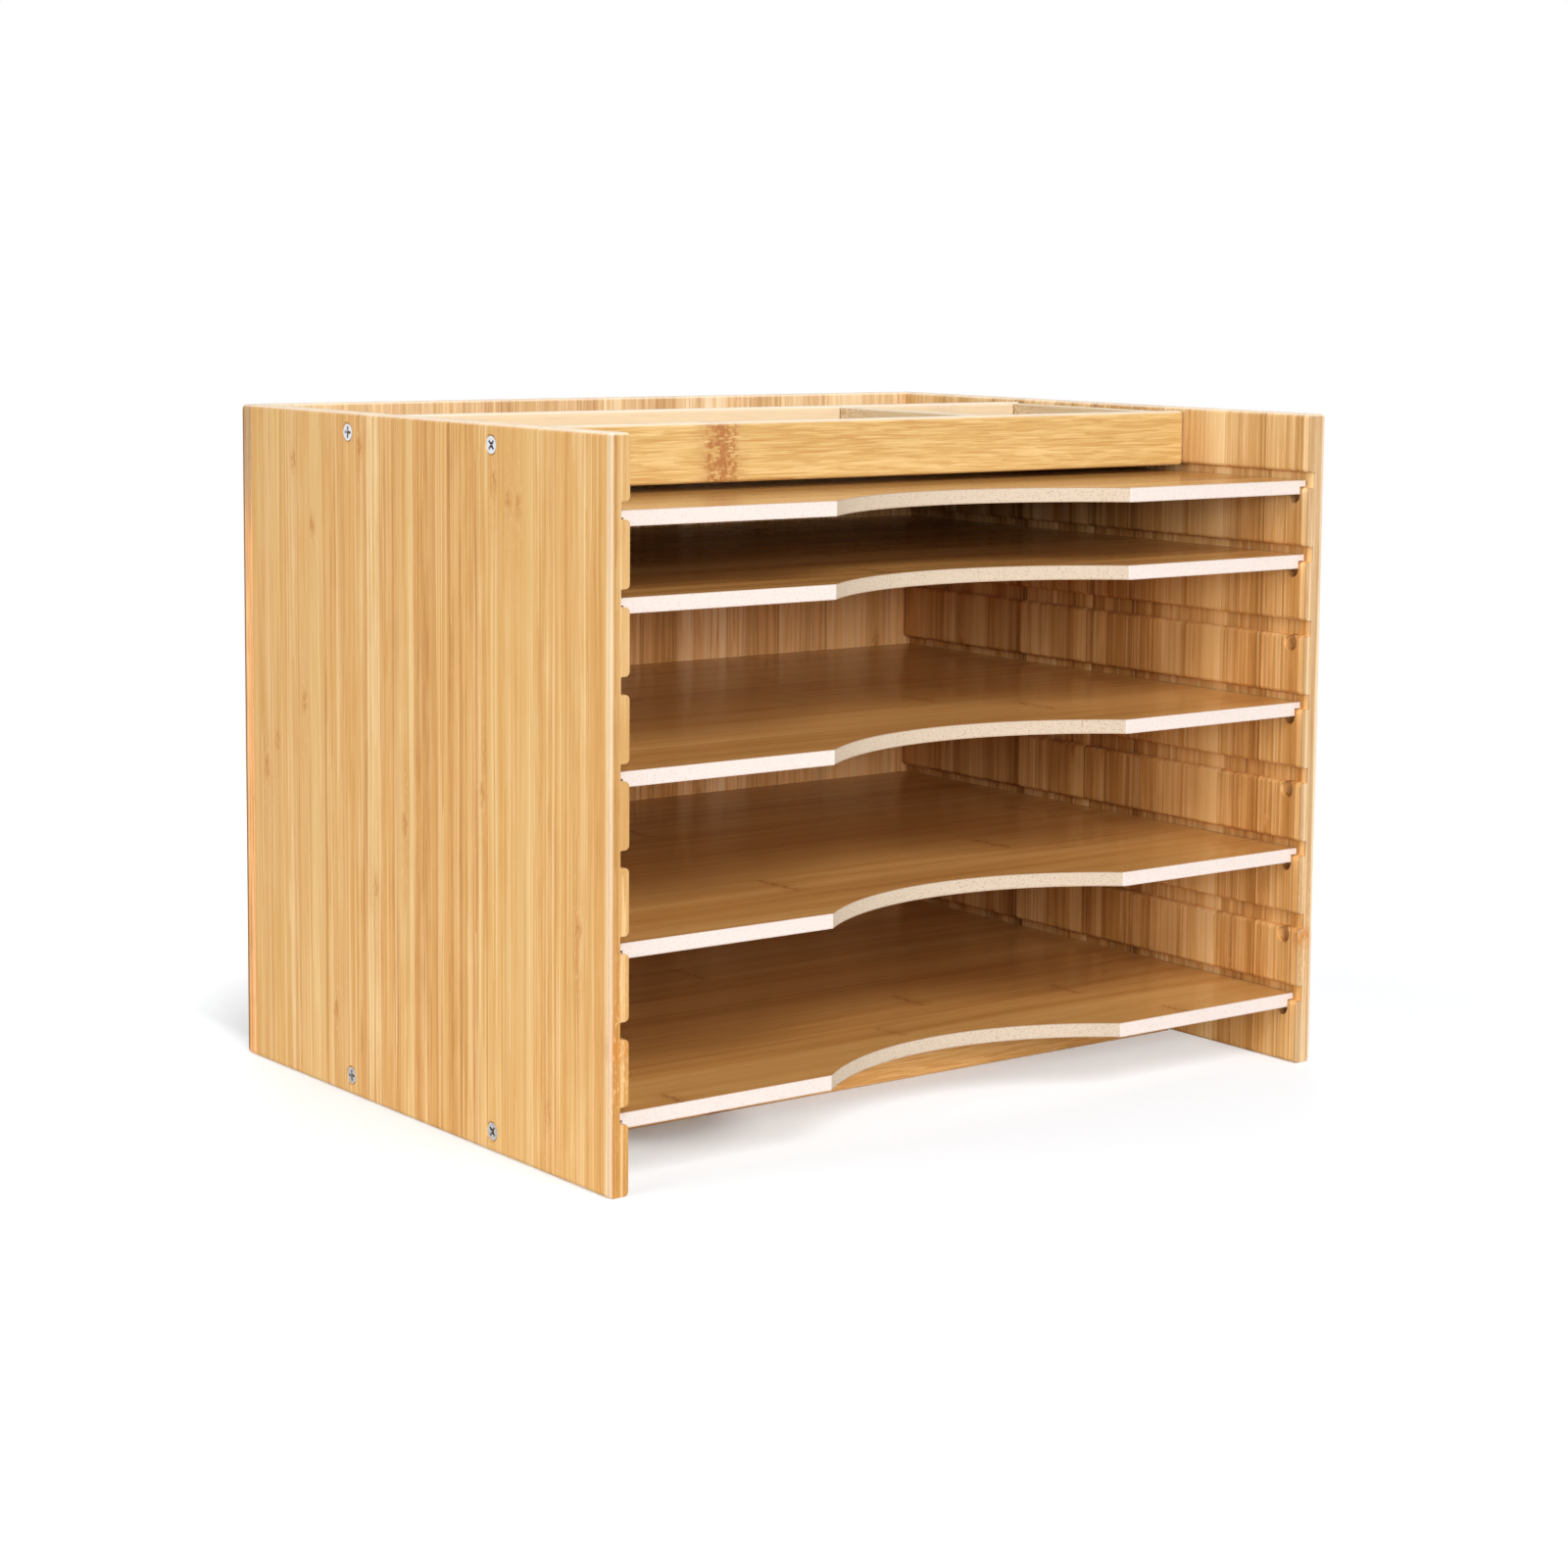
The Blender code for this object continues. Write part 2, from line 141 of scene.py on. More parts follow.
class Value:
    """A node's output as a term of a formula: every operation on it adds a Math node."""

    def __init__(self, graph, socket):
        self.graph = graph
        self.socket = socket

    __add__ = operation("ADD")
    __radd__ = operation("ADD", swapped=True)
    __sub__ = operation("SUBTRACT")
    __rsub__ = operation("SUBTRACT", swapped=True)
    __mul__ = operation("MULTIPLY")
    __rmul__ = operation("MULTIPLY", swapped=True)
    __truediv__ = operation("DIVIDE")
    __mod__ = operation("MODULO")
    __abs__ = operation("ABSOLUTE")
    __lt__ = operation("LESS_THAN")
    __gt__ = operation("GREATER_THAN")

    def fade(self, start, end):
        """0 where the value is at start, 1 where it is at end, with a soft passage between."""
        return self.graph.out("ShaderNodeMapRange", Value=self, From_Min=start, From_Max=end,
                              interpolation_type="SMOOTHSTEP")

    def split(self):
        """A vector's x, y and z."""
        return tuple(self.graph.outs("ShaderNodeSeparateXYZ", Vector=self).values())

    def parts(self):
        """A colour's three numbers."""
        return tuple(self.graph.outs("ShaderNodeSeparateColor", Color=self).values())

    def scaled(self, *factors):
        return self.graph.out("ShaderNodeVectorMath", {0: self, 1: factors}, operation="MULTIPLY")

    def noise(self, detail=2.0, roughness=0.5):
        """Clouds of about one unit's size at a place."""
        return self.graph.out("ShaderNodeTexNoise", Vector=self, Scale=1.0, Detail=detail,
                              Roughness=roughness)

    def patches(self):
        """Crisp patches of about one unit at a place, with three random numbers each."""
        return self.graph.out("ShaderNodeTexVoronoi", output="Color", Vector=self, Scale=1.0).parts()


class Graph:
    """Adds nodes to a node tree; what feeds them is a number, a colour, a vector or a Value."""

    def __init__(self, tree):
        self.tree = tree

    def node(self, kind, feeds=None, **values):
        """A new node, fed by feeds and values.

        Profile_Curve=... feeds the socket Profile Curve, and mode=... sets the node's mode.
        """
        made = self.tree.nodes.new(kind)
        feeds = feeds or {}
        for name, value in values.items():
            if name[0].isupper():
                feeds[name.replace("_", " ")] = value
            else:
                setattr(made, name, value)
        for socket, value in feeds.items():
            self.feed(made.inputs[socket], value)
        return made

    def feed(self, socket, value):
        if isinstance(value, Value):
            self.tree.links.new(value.socket, socket)
        elif socket.type == "RGBA":
            socket.default_value = (*value, 1.0)
        else:
            socket.default_value = value

    def out(self, kind, feeds=None, output=0, **values):
        """A new node's first output, or the one that output names."""
        return Value(self, self.node(kind, feeds, **values).outputs[output])

    def outs(self, kind, feeds=None, **values):
        """All of a new node's outputs by their names."""
        made = self.node(kind, feeds, **values)
        return {socket.name: Value(self, socket) for socket in made.outputs}

    def make(self, kind, **values):
        """The first output of a new node of Geometry Nodes."""
        return self.out("GeometryNode" + kind, **values)

    def math(self, kind, *values):
        return self.out("ShaderNodeMath", dict(enumerate(values)), operation=kind)

    def vector(self, x, y, z):
        return self.out("ShaderNodeCombineXYZ", X=x, Y=y, Z=z)


class Shader(Graph):
    """A new material's node tree with its Principled shader."""

    def __init__(self, name):
        self.material = bpy.data.materials.new(name)
        self.material.use_nodes = True
        super().__init__(self.material.node_tree)
        self.surface = self.tree.nodes["Principled BSDF"]
        self.point = self.out("ShaderNodeTexCoord", output="Object")
        self.x, self.y, self.z = self.point.split()

    def voronoi(self, along, randomness, **settings):
        """A pattern of cells of about one unit along a line."""
        return self.outs("ShaderNodeTexVoronoi", W=along, Scale=1.0, Randomness=randomness,
                         voronoi_dimensions="1D", **settings)

    def cells(self, along, randomness):
        """The cells' three random numbers and their middles."""
        cell = self.voronoi(along, randomness)
        return cell["Color"].parts(), cell["W"]

    def cell_edges(self, along, randomness):
        return self.voronoi(along, randomness, feature="DISTANCE_TO_EDGE")["Distance"]

    def total(self, *weighed, start=0.0):
        """The sum of (value, weight) pairs."""
        for value, weight in weighed:
            start = self.math("MULTIPLY_ADD", value, weight, start)
        return start

    def level(self, *weighed):
        """Their sum round 0.5, for values that lie round 0.5 themselves."""
        return self.total(*weighed, start=0.5 - 0.5 * sum(weight for _, weight in weighed))

    def mix(self, amount, first, second, blend="MIX"):
        return self.out("ShaderNodeMix", {0: amount, 6: first, 7: second}, output=2,
                        data_type="RGBA", blend_type=blend)

    def tinted(self, colour, tint):
        return self.mix(1.0, colour, tint, "MULTIPLY")

    def ramp(self, value, *stops):
        node = self.node("ShaderNodeValToRGB", {0: value})
        elements = node.color_ramp.elements
        elements[0].position = stops[0][0]
        elements[1].position = stops[-1][0]
        for position, _ in stops[1:-1]:
            elements.new(position)
        for element, (_, colour) in zip(elements, stops):
            element.color = (*colour, 1.0)
        return Value(self, node.outputs[0])

    def coat(self, **values):
        """Feed the surface's sockets; Base_Color stands for the socket Base Color."""
        for name, value in values.items():
            self.feed(self.surface.inputs[name.replace("_", " ")], value)

    def finish(self, colour, roughness, height, depth):
        """Wire up the surface; height (0 to 1) stands for a relief of the given depth."""
        bump = self.out("ShaderNodeBump", Strength=1.0, Distance=depth, Height=height)
        self.coat(Base_Color=colour, Roughness=roughness, Normal=bump)
        return self.material

    def lacquered(self, colour, look, streaks, grain, depth):
        """A satin lacquer under a share of a smoother coat, over streaks and grain in relief."""
        self.coat(Specular_IOR_Level=0.15, Coat_Weight=look.top_coat, Coat_Roughness=0.16)
        roughness = streaks * 0.06 + (look.gloss_roughness - 0.03)
        return self.finish(colour, roughness, self.level((grain, 0.5), (streaks, 0.5)), depth)


def geometry_tree(name, geometry_in=True, **inputs):
    """A new Geometry Nodes tree's graph, and its inputs by their names.

    inputs maps a socket type to the names of that type.
    """
    tree = bpy.data.node_groups.new(name, "GeometryNodeTree")
    sockets = tree.interface
    if geometry_in:
        sockets.new_socket("Geometry", in_out="INPUT", socket_type="NodeSocketGeometry")
    for kind, labels in inputs.items():
        for label in labels:
            sockets.new_socket(label, in_out="INPUT", socket_type="NodeSocket" + kind)
    sockets.new_socket("Geometry", in_out="OUTPUT", socket_type="NodeSocketGeometry")
    graph = Graph(tree)
    return graph, graph.outs("NodeGroupInput")


def close_tree(graph, geometry, material):
    """End a Geometry Nodes tree: real geometry in one material."""
    real = graph.make("RealizeInstances", Geometry=geometry)
    coated = graph.make("SetMaterial", Geometry=real, Material=material)
    graph.node("NodeGroupOutput", {0: coated})
    return graph.tree


def add_tree(piece, tree, settings, **sizes):
    """Put a Geometry Nodes tree on an object and fill in its inputs.

    groove_depth stands for the input Groove Depth; what sizes leaves out is read from settings.
    """
    modifier = piece.modifiers.new(tree.name, "NODES")
    modifier.node_group = tree
    for item in tree.interface.items_tree:
        if item.in_out == "INPUT" and item.socket_type != "NodeSocketGeometry":
            label = item.name.replace(" ", "_").lower()
            modifier[item.identifier] = (sizes[label] if label in sizes else getattr(settings, label))


def new_object(name, data=None):
    made = bpy.data.objects.new(name, data or bpy.data.meshes.new(name))
    bpy.context.scene.collection.objects.link(made)
    return made


def plain_mesh(piece, name):
    """The evaluated shape of an object as a plain mesh object, in the first one's place."""
    graph = bpy.context.evaluated_depsgraph_get()
    mesh = bpy.data.meshes.new_from_object(piece.evaluated_get(graph), depsgraph=graph)
    bpy.data.objects.remove(piece)
    mesh.name = name
    return new_object(name, mesh)


def round_off(piece, degrees):
    """Shade a piece smoothly, but for its edges sharper than the angle."""
    piece.data.shade_smooth()
    piece.data.set_sharp_from_angle(angle=math.radians(degrees))


def flat_faces(piece, name):
    """The piece with its flat faces shaded flat beside its rounded edges."""
    modifier = piece.modifiers.new("flat faces", "WEIGHTED_NORMAL")
    modifier.keep_sharp = True
    modifier.weight = 100
    return plain_mesh(piece, name)


def dress(names, material):
    """Give CAD nodes a material in every slot."""
    for name in names:
        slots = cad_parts[name].data.materials
        slots.clear()
        slots.append(material)


# Bamboo ------------------------


class BambooLook(PropertyGroup):
    darkest: colour_prop("Darkest tone", "Colour of the few darkest fibres", (0.220, 0.092, 0.023))
    deep: colour_prop("Deep tone", "Colour of the dark strips", (0.460, 0.224, 0.064))
    middle: colour_prop("Middle tone", "Colour of most strips", (0.633, 0.359, 0.124))
    pale: colour_prop("Pale tone", "Colour of the pale strips", (0.782, 0.512, 0.219))
    palest: colour_prop("Palest tone", "Colour of the few palest fibres", (0.900, 0.680, 0.380))
    golden: colour_prop("Golden tint", "Tint of the yellowest bands", (1.0, 1.0, 0.90))
    rosy: colour_prop("Rosy tint", "Tint of the reddest bands", (1.0, 0.965, 1.0))
    outer_tint: colour_prop("Outer tint", "Tint of the pale strips outside", (0.98, 1.01, 1.05))
    outer_deep_tint: colour_prop("Outer deep tint", "Tint of the dark strips outside", (1.13, 1.11, 1.04))
    # Painted light: the inner, rim and back tints brighten the inside faces of the same boards, with a
    # cooler tint above the top shelf.
    painted_inner_light: colour_prop("Inner tint", "Tint of the lacquer inside", (1.13, 1.06, 1.01))
    painted_rim_light: colour_prop("Rim tint", "Tint of the inner faces above the top shelf", (1.02, 1.12, 1.36))
    back_tint: colour_prop("Back tint", "Tint of the back panel's inner face", (1.48, 1.40, 1.60))
    back_rim_tint: colour_prop("Back rim tint", "The same, above the top shelf", (0.94, 1.12, 1.70))
    # Painted shade: the open front edges are tinted darker than the faces, deepest at the foot of the left
    # panel's edge.
    painted_foot_shade: colour_prop("Foot tint", "Tint of the left panel's open front edge, low down",
                           (0.575, 0.45, 0.28))
    edge_tint: colour_prop("Edge tint", "Tint of the left panel's open front edge, high up",
                           (0.65, 0.625, 0.60))
    far_edge_tint: colour_prop("Far edge tint", "Tint of the right panel's open front edge",
                               (0.66, 0.69, 0.88))
    # Painted highlight on the rounded arrises and the top.
    painted_highlight: colour_prop("Arris", "Colour of the sanded outer corners and of the top", (0.880, 0.760, 0.600))
    node_mark: colour_prop("Node mark", "Colour of the flecks at a cane's node", (0.470, 0.170, 0.026))
    liveliness: amount_prop("Liveliness", "How much the fibres stand out", 1.05)
    inner_liveliness: amount_prop("Inner liveliness", "The same, on the faces inside the sorter", 1.20)
    strip_contrast: amount_prop("Strip contrast", "How far the strips differ from each other", 0.34)
    inner_strip_contrast: amount_prop("Inner strip contrast",
                                      "The same, on the faces inside the sorter", 1.10)
    back_strip_contrast: amount_prop("Back strip contrast",
                                     "The same, on the back panel's inner face", 0.60)
    strip_width: length_prop("Strip width", "Mean width of a glued strip in the sides", 0.0105, 0.004)
    back_strip_width: length_prop("Back strip width", "Mean width of a glued strip in the back",
                                  0.0190, 0.004)
    node_spacing: length_prop("Node spacing", "Distance between a cane's nodes", 0.27, 0.05)
    gloss_roughness: share_prop("Lacquer roughness", "Roughness of the satin lacquer", 0.40)
    top_coat: share_prop("Top coat", "Share of the lacquer's smoother upper layer", 0.10)
    fibre_relief: length_prop("Fibre relief", "Height of the fibres under the lacquer", 0.000001)


def glued_strips(name, look, axes, strips, inner, ends, tints):
    """Edge-glued bamboo strips; axes names the ones across, through and along them.

    strips is their (width, contrast inside). inner is how far out, on the through axis, the
    (outer finish ends, inner one begins). ends are the places of the (open edge, far edge,
    outer face, top); tints are those of the (outer face, inner face, its rim, open edge's
    foot, its top). All but the outer face's tint are painted light and shade: the inside faces
    are painted brighter, with a cooler tint above the top shelf, and the open edge darker,
    deepest at its foot.
    """
    shader = Shader(name)
    a, t, l = (getattr(shader, axis) for axis in axes)
    strip_width, inner_contrast = strips
    front, rear, outer_face, top = ends
    outer_tint, painted_inner_light, painted_rim_light, painted_foot_shade, edge_tint = tints
    strip = a * (1.0 / strip_width)
    (tone, shift, lean), centre = shader.cells(strip, 0.9)
    beside = strip - centre
    cane = l + shift * 9.0
    wander = shader.vector(a * 90.0, t * 90.0, cane * 9.0).noise(1.0)
    bent = a + (wander - 0.5) * 0.0016

    def lengthwise(per_metre, per_metre_along):
        return shader.vector(bent * per_metre, t * (per_metre * 0.8), cane * per_metre_along)

    bands = lengthwise(330.0, 1.3).patches()
    lines = lengthwise(1050.0, 7.0).patches()
    hairs = lengthwise(2600.0, 60.0).patches()
    streaks = lengthwise(620.0, 6.0).noise(4.0, 0.65)
    clouds = lengthwise(60.0, 20.0).noise(3.0, 0.6)
    fibres = shader.level((bands[0], 0.30), (lines[0], 0.26), (hairs[0], 0.22),
                          (streaks, 0.75), (clouds, 0.60))
    inside = abs(t).fade(*inner) * a.fade(rear - 0.0004, rear - 0.0012)

    def there(inner_value, outer_value):
        return shader.total((inside, inner_value - outer_value), start=outer_value)

    lively = there(look.inner_liveliness, look.liveliness)
    lively = lively * shader.total((lean, 0.9), start=0.55)
    slope = beside * (shift - 0.5)
    apart = there(inner_contrast, look.strip_contrast)
    apart = apart * shader.total((tone, 1.0), (slope, 1.4), start=-0.5)
    contrast = shader.total((fibres - 0.5, lively), (apart, 1.0))
    rim = inside * l.fade(0.200, 0.240)
    calm = shader.total((rim, -0.20), start=1.0)
    level = shader.level((shader.total((contrast * calm, 1.0), start=0.5), 0.5))
    colour = shader.ramp(level, (0.0, look.darkest), (0.275, look.deep), (0.50, look.middle),
                         (0.725, look.pale), (1.0, look.palest))
    hue = shader.level((bands[1], 0.45), (lean, 0.45), (clouds, 0.60))
    colour = shader.tinted(colour, shader.mix(hue, look.golden, look.rosy))
    tint = shader.mix(level.fade(0.35, 0.65), look.outer_deep_tint, outer_tint)
    # Painted light: the inside faces are tinted brighter than the outside of the same boards, with a cooler
    # tint above the top shelf.
    tint = shader.mix(inside, tint, painted_inner_light)
    tint = shader.mix(rim, tint, painted_rim_light)
    # Painted shade on the open front edge: darker than the faces, deepest at the foot of the left panel's
    # edge.
    edge_tint = shader.mix(l.fade(0.02, 0.20), painted_foot_shade, edge_tint)
    tint = shader.mix(a.fade(front + 0.0012, front + 0.0002), tint, edge_tint)
    colour = shader.tinted(colour, tint)

    # Single fibres: dark ones and pale ones.
    colour = shader.mix((lines[1] > 0.88) * 0.26, colour, look.deep)
    colour = shader.mix((lines[2] > 0.86) * 0.30, colour, look.palest)

    # The glue line shows beside the strips that lean towards it.
    line = shader.cell_edges(strip, 0.9).fade(0.00032 / strip_width, 0.0)
    line = line * lean.fade(0.35, 0.80)
    colour = shader.mix(line * 0.55, colour, look.node_mark)

    # Each strip crosses a node of its cane once in a while: short dark flecks in a soft halo.
    beside = shader.total((beside, 1.0), (lean, 0.6), start=-0.3)
    turn = shader.math("FRACT", l * (1.0 / look.node_spacing) + shift * 7.3)
    above = (turn - 0.5) * look.node_spacing

    def reach(half_width, half_height):
        wide = beside * (strip_width / half_width)
        tall = above * (1.0 / half_height)
        near = shader.math("SQRT", wide * wide + tall * tall).fade(1.0, 0.15)
        return near * tone.fade(0.25, 0.60)

    core = reach(0.0030, 0.0070)
    glow = reach(0.0060, 0.0450)
    flecks = lengthwise(1500.0, 330.0).noise(2.0, 0.6)
    colour = shader.mix(glow * 0.16, colour, look.node_mark)
    colour = shader.mix(flecks.fade(0.55, 0.66) * (glow * 0.45 + 0.05), colour, look.pale)
    spots = flecks.fade(0.50, 0.40) * 0.60 + 0.30
    colour = shader.mix(core * spots, colour, look.node_mark)

    # Painted shade inside the bored holes, which also stands for their darker end grain.
    size = abs(t)
    painted_hole_shade = 1.0
    for place, start, end in ((size, inner[1] + 0.0002, inner[1] + 0.0008),
                              (size, outer_face - 0.0004, outer_face - 0.0010),
                              (a, front, front + 0.003), (a, rear, rear - 0.003),
                              (l, 0.0, 0.003), (l, top, top - 0.003)):
        painted_hole_shade = place.fade(start, end) * painted_hole_shade
    colour = shader.mix(painted_hole_shade * 0.90, colour, look.darkest)

    # Painted highlight: the rounded arrises and the top are painted paler, where they catch the light.
    corner = (size.fade(outer_face - 0.0017, outer_face - 0.0009)
              * a.fade(front + 0.0026, front + 0.0012))
    highlit = shader.total((corner, 0.35), (l.fade(top - 0.0012, top - 0.0003), 0.55))
    colour = shader.mix(highlit, colour, look.painted_highlight)
    return shader.lacquered(colour, look, streaks, hairs[0], look.fibre_relief)


class FlatBambooLook(PropertyGroup):
    deep: colour_prop("Deep tone", "Colour of the dark dashes in the grain", (0.430, 0.218, 0.062))
    middle: colour_prop("Middle tone", "Colour of the board", (0.530, 0.340, 0.120))
    pale: colour_prop("Pale tone", "Colour of the palest streaks", (0.660, 0.465, 0.210))
    node_mark: colour_prop("Node mark", "Colour of the cane's node", (0.340, 0.140, 0.042))
    node_place: length_prop("Node place", "Where a node crosses the front board", -0.073, -0.5)
    node_spacing: length_prop("Node spacing", "Distance between a cane's nodes", 0.31, 0.05)
    gloss_roughness: share_prop("Lacquer roughness", "Roughness of the satin lacquer", 0.40)
    cream: colour_prop("Cream", "Colour of the boards that are left pale", (0.680, 0.560, 0.405))
    # Painted light on the rails, which lie in shade under the lowest shelf.
    rail_tint: colour_prop("Rail tint", "Tint of the bottom rails", (1.45, 1.22, 1.10))
    # Painted highlight on the top edges.
    painted_highlight: colour_prop("Arris", "Colour of the sanded top edges", (0.880, 0.760, 0.600))
    top_coat: share_prop("Top coat", "Share of the lacquer's smoother upper layer", 0.10)
    dash_relief: length_prop("Dash relief", "Height of the grain's dashes", 0.000008)


def flat_board(name, look, axes, node_place, paleness=0.0, pores=0.0, top=1.0, tint=WHITE):
    """A flat-pressed bamboo board: short dashes along the grain and a node right across."""
    shader = Shader(name)
    a, t, l = (getattr(shader, axis) for axis in axes)

    def scaled(across, along):
        return shader.vector(a * across, t * across, l * along)

    bent = a + (scaled(40.0, 7.0).noise(1.0) - 0.5) * 0.0008

    def lengthwise(per_metre, per_metre_along):
        return shader.vector(bent * per_metre, t * per_metre, l * per_metre_along)

    bands = lengthwise(300.0, 2.0).patches()
    dashes = lengthwise(1500.0, 60.0).patches()
    streaks = lengthwise(1100.0, 14.0).noise(4.0, 0.62)
    clouds = lengthwise(60.0, 9.0).noise(2.0)
    grains = lengthwise(2600.0, 100.0).patches()
    level = shader.level((bands[0], 0.16), (dashes[0], 0.24), (grains[0], 0.38),
                         (streaks, 0.60), (clouds, 0.36))
    colour = shader.ramp(level, (0.05, look.deep), (0.50, look.middle), (0.90, look.pale))
    colour = shader.mix((dashes[1] > 0.90) * 0.50, colour, look.deep)
    colour = shader.mix((dashes[2] > 0.90) * 0.40, colour, look.pale)

    # A node: ragged brown lines across the grain in a soft halo, crossed by pale dashes.
    ragged = lengthwise(1400.0, 160.0).noise(3.0, 0.6)
    turn = (l - node_place) * (1.0 / look.node_spacing) + 0.5
    from_node = (shader.math("FRACT", turn) - 0.5) * look.node_spacing
    offset = from_node + (ragged - 0.5) * 0.006
    core = abs(offset).fade(0.0085, 0.0030)
    halo = abs(offset).fade(0.0160, 0.0010)
    line = abs(offset - 0.0068).fade(0.0016, 0.0003)
    mark = shader.total((core, 0.60), (halo, 0.56), (line, 0.35))
    mark = mark * (scaled(620.0, 900.0).patches()[0] * 0.60 + 0.50)
    mark = mark * (1.0 - (scaled(1500.0, 420.0).patches()[1] > 0.74) * 0.70)
    colour = shader.mix(mark, colour, look.node_mark)
    colour = shader.tinted(shader.mix(paleness, colour, look.cream), tint)

    # Cut ends of the fibre bundles.
    dots = scaled(1500.0, 900.0).patches()[0] > 0.62
    dots = dots * l.fade(0.0, 0.06)
    colour = shader.mix(dots * pores, colour, look.node_mark)

    # Painted highlight: the top edge is painted paler, where it catches the light.
    colour = shader.mix(a.fade(top - 0.0010, top - 0.0003) * 0.6, colour, look.painted_highlight)
    return shader.lacquered(colour, look, streaks, dashes[0], look.dash_relief)


class SidesShape(PropertyGroup):
    grooves: count_prop("Grooves", "Shelf grooves in each side", 8, 1)
    first_groove: length_prop("First groove", "Height of the lowest groove's floor", 0.0252)
    top_groove_drop: length_prop("Top groove drop",
                                 "From the top down to the highest groove's floor", 0.029)
    groove_height: length_prop("Groove height", "Height of a groove", 0.006)
    groove_depth: length_prop("Groove depth", "Depth of a groove", 0.0035)
    lip_radius: length_prop("Lip radius", "Rounding of a groove's two lips", 0.0017)
    root_radius: length_prop("Root radius", "Rounding at the bottom of a groove", 0.0003)
    edge_radius: length_prop("Edge radius", "Rounding of the top and bottom edges", 0.0018)
    front_radius: length_prop("Front radius", "Rounding round the whole front edge", 0.0013)
    seam_radius: length_prop("Seam radius", "Rounding of the edge against the back panel", 0.0006)
    facets: count_prop("Facets", "Facets on a quarter round", 6, 2)
    stop_radius: length_prop("Stop hole radius", "Radius of the blind hole under each groove", 0.0033)
    stop_setback: length_prop("Stop hole setback", "From the front edge to the stop hole", 0.008)
    stop_drop: length_prop("Stop hole drop", "From a groove's floor down to the stop hole's middle", 0.0031)
    stop_depth: length_prop("Stop hole depth", "Depth of the stop hole", 0.004)
    hole_clearance: length_prop("Hole clearance", "Room round a screw", 0.0003)


def grooved_side_tree(material):
    """Geometry Nodes: a side panel, its section drawn from the grooves' pitch.

    The front edge's outline carries a bevel weight of one, the rear one Seam Weight.
    """
    graph, given = geometry_tree("grooved side", geometry_in=False, Float=(
        "Inner Face", "Side", "Front", "Rear", "Height", "Thickness", "First Groove", "Pitch",
        "Groove Height", "Groove Depth", "Lip Radius", "Root Radius", "Edge Radius",
        "Seam Weight"), Int=("Grooves", "Facets"))

    # Four corners for each groove, from the lowest up, then the four of the board itself.
    groove_corners = given["Grooves"] * 4.0
    outline = graph.make("MeshLine", Count=groove_corners + 4.0, Offset=(0.0, 0.0, 0.001))
    index = graph.make("InputIndex")
    corner = index % 4.0
    number = graph.math("FLOOR", index * 0.25)
    in_groove = index < groove_corners - 0.5
    on_board = 1.0 - in_groove
    deep = abs(corner - 1.5) < 1.0
    late = corner > 1.5

    def either(for_groove, for_board):
        return in_groove * for_groove + on_board * for_board

    into_wood = deep * either(given["Groove Depth"], given["Thickness"])
    floor = given["First Groove"] + number * given["Pitch"]
    up = either(floor + late * given["Groove Height"], (1.0 - late) * given["Height"])
    lips = deep * given["Root Radius"] + (1.0 - deep) * given["Lip Radius"]
    radius = either(lips, given["Edge Radius"])
    outline = graph.make("SetPosition", Geometry=outline, Position=graph.vector(into_wood, up, 0.0))
    outline = graph.make("MeshToCurve", Mesh=outline)
    outline = graph.make("SetSplineCyclic", Geometry=outline, Cyclic=True)
    outline = graph.make("FilletCurve", Curve=outline, Count=given["Facets"], Radius=radius,
                         mode="POLY")

    # The section runs from the front to the rear.
    run = given["Rear"] - given["Front"]
    path = graph.make("CurvePrimitiveLine", End=graph.vector(0.0, 0.0, run))
    board = graph.make("CurveToMesh", Curve=path, Profile_Curve=outline, Fill_Caps=True)
    u, v, w = graph.make("InputPosition").split()
    at_front = w < 0.00001
    at_rear = w > run - 0.00001
    board = graph.make("StoreNamedAttribute", Geometry=board, Name="bevel_weight_edge",
                       Value=at_front + at_rear * given["Seam Weight"], data_type="FLOAT",
                       domain="EDGE")
    target = graph.vector(given["Inner Face"] + u * given["Side"], given["Front"] + w, v)
    board = graph.make("SetPosition", Geometry=board, Position=target)
    board = graph.make("FlipFaces", Mesh=board, Selection=given["Side"] < 0.0)
    return close_tree(graph, board, material)


def cut(graph, solid, *cutters):
    """The solid without the cutters."""
    drill = graph.node("GeometryNodeMeshBoolean", Mesh_1=solid, operation="DIFFERENCE", solver="EXACT")
    for cutter in cutters:
        graph.feed(drill.inputs["Mesh 2"], cutter)
    return Value(graph, drill.outputs[0])


def turned(graph, line, radius, facets):
    """A round solid along a line, with the radius at each of the line's points."""
    ring = graph.make("CurvePrimitiveCircle", Resolution=facets, Radius=1.0)
    return graph.make("CurveToMesh", Curve=line, Profile_Curve=ring, Scale=radius, Fill_Caps=True)


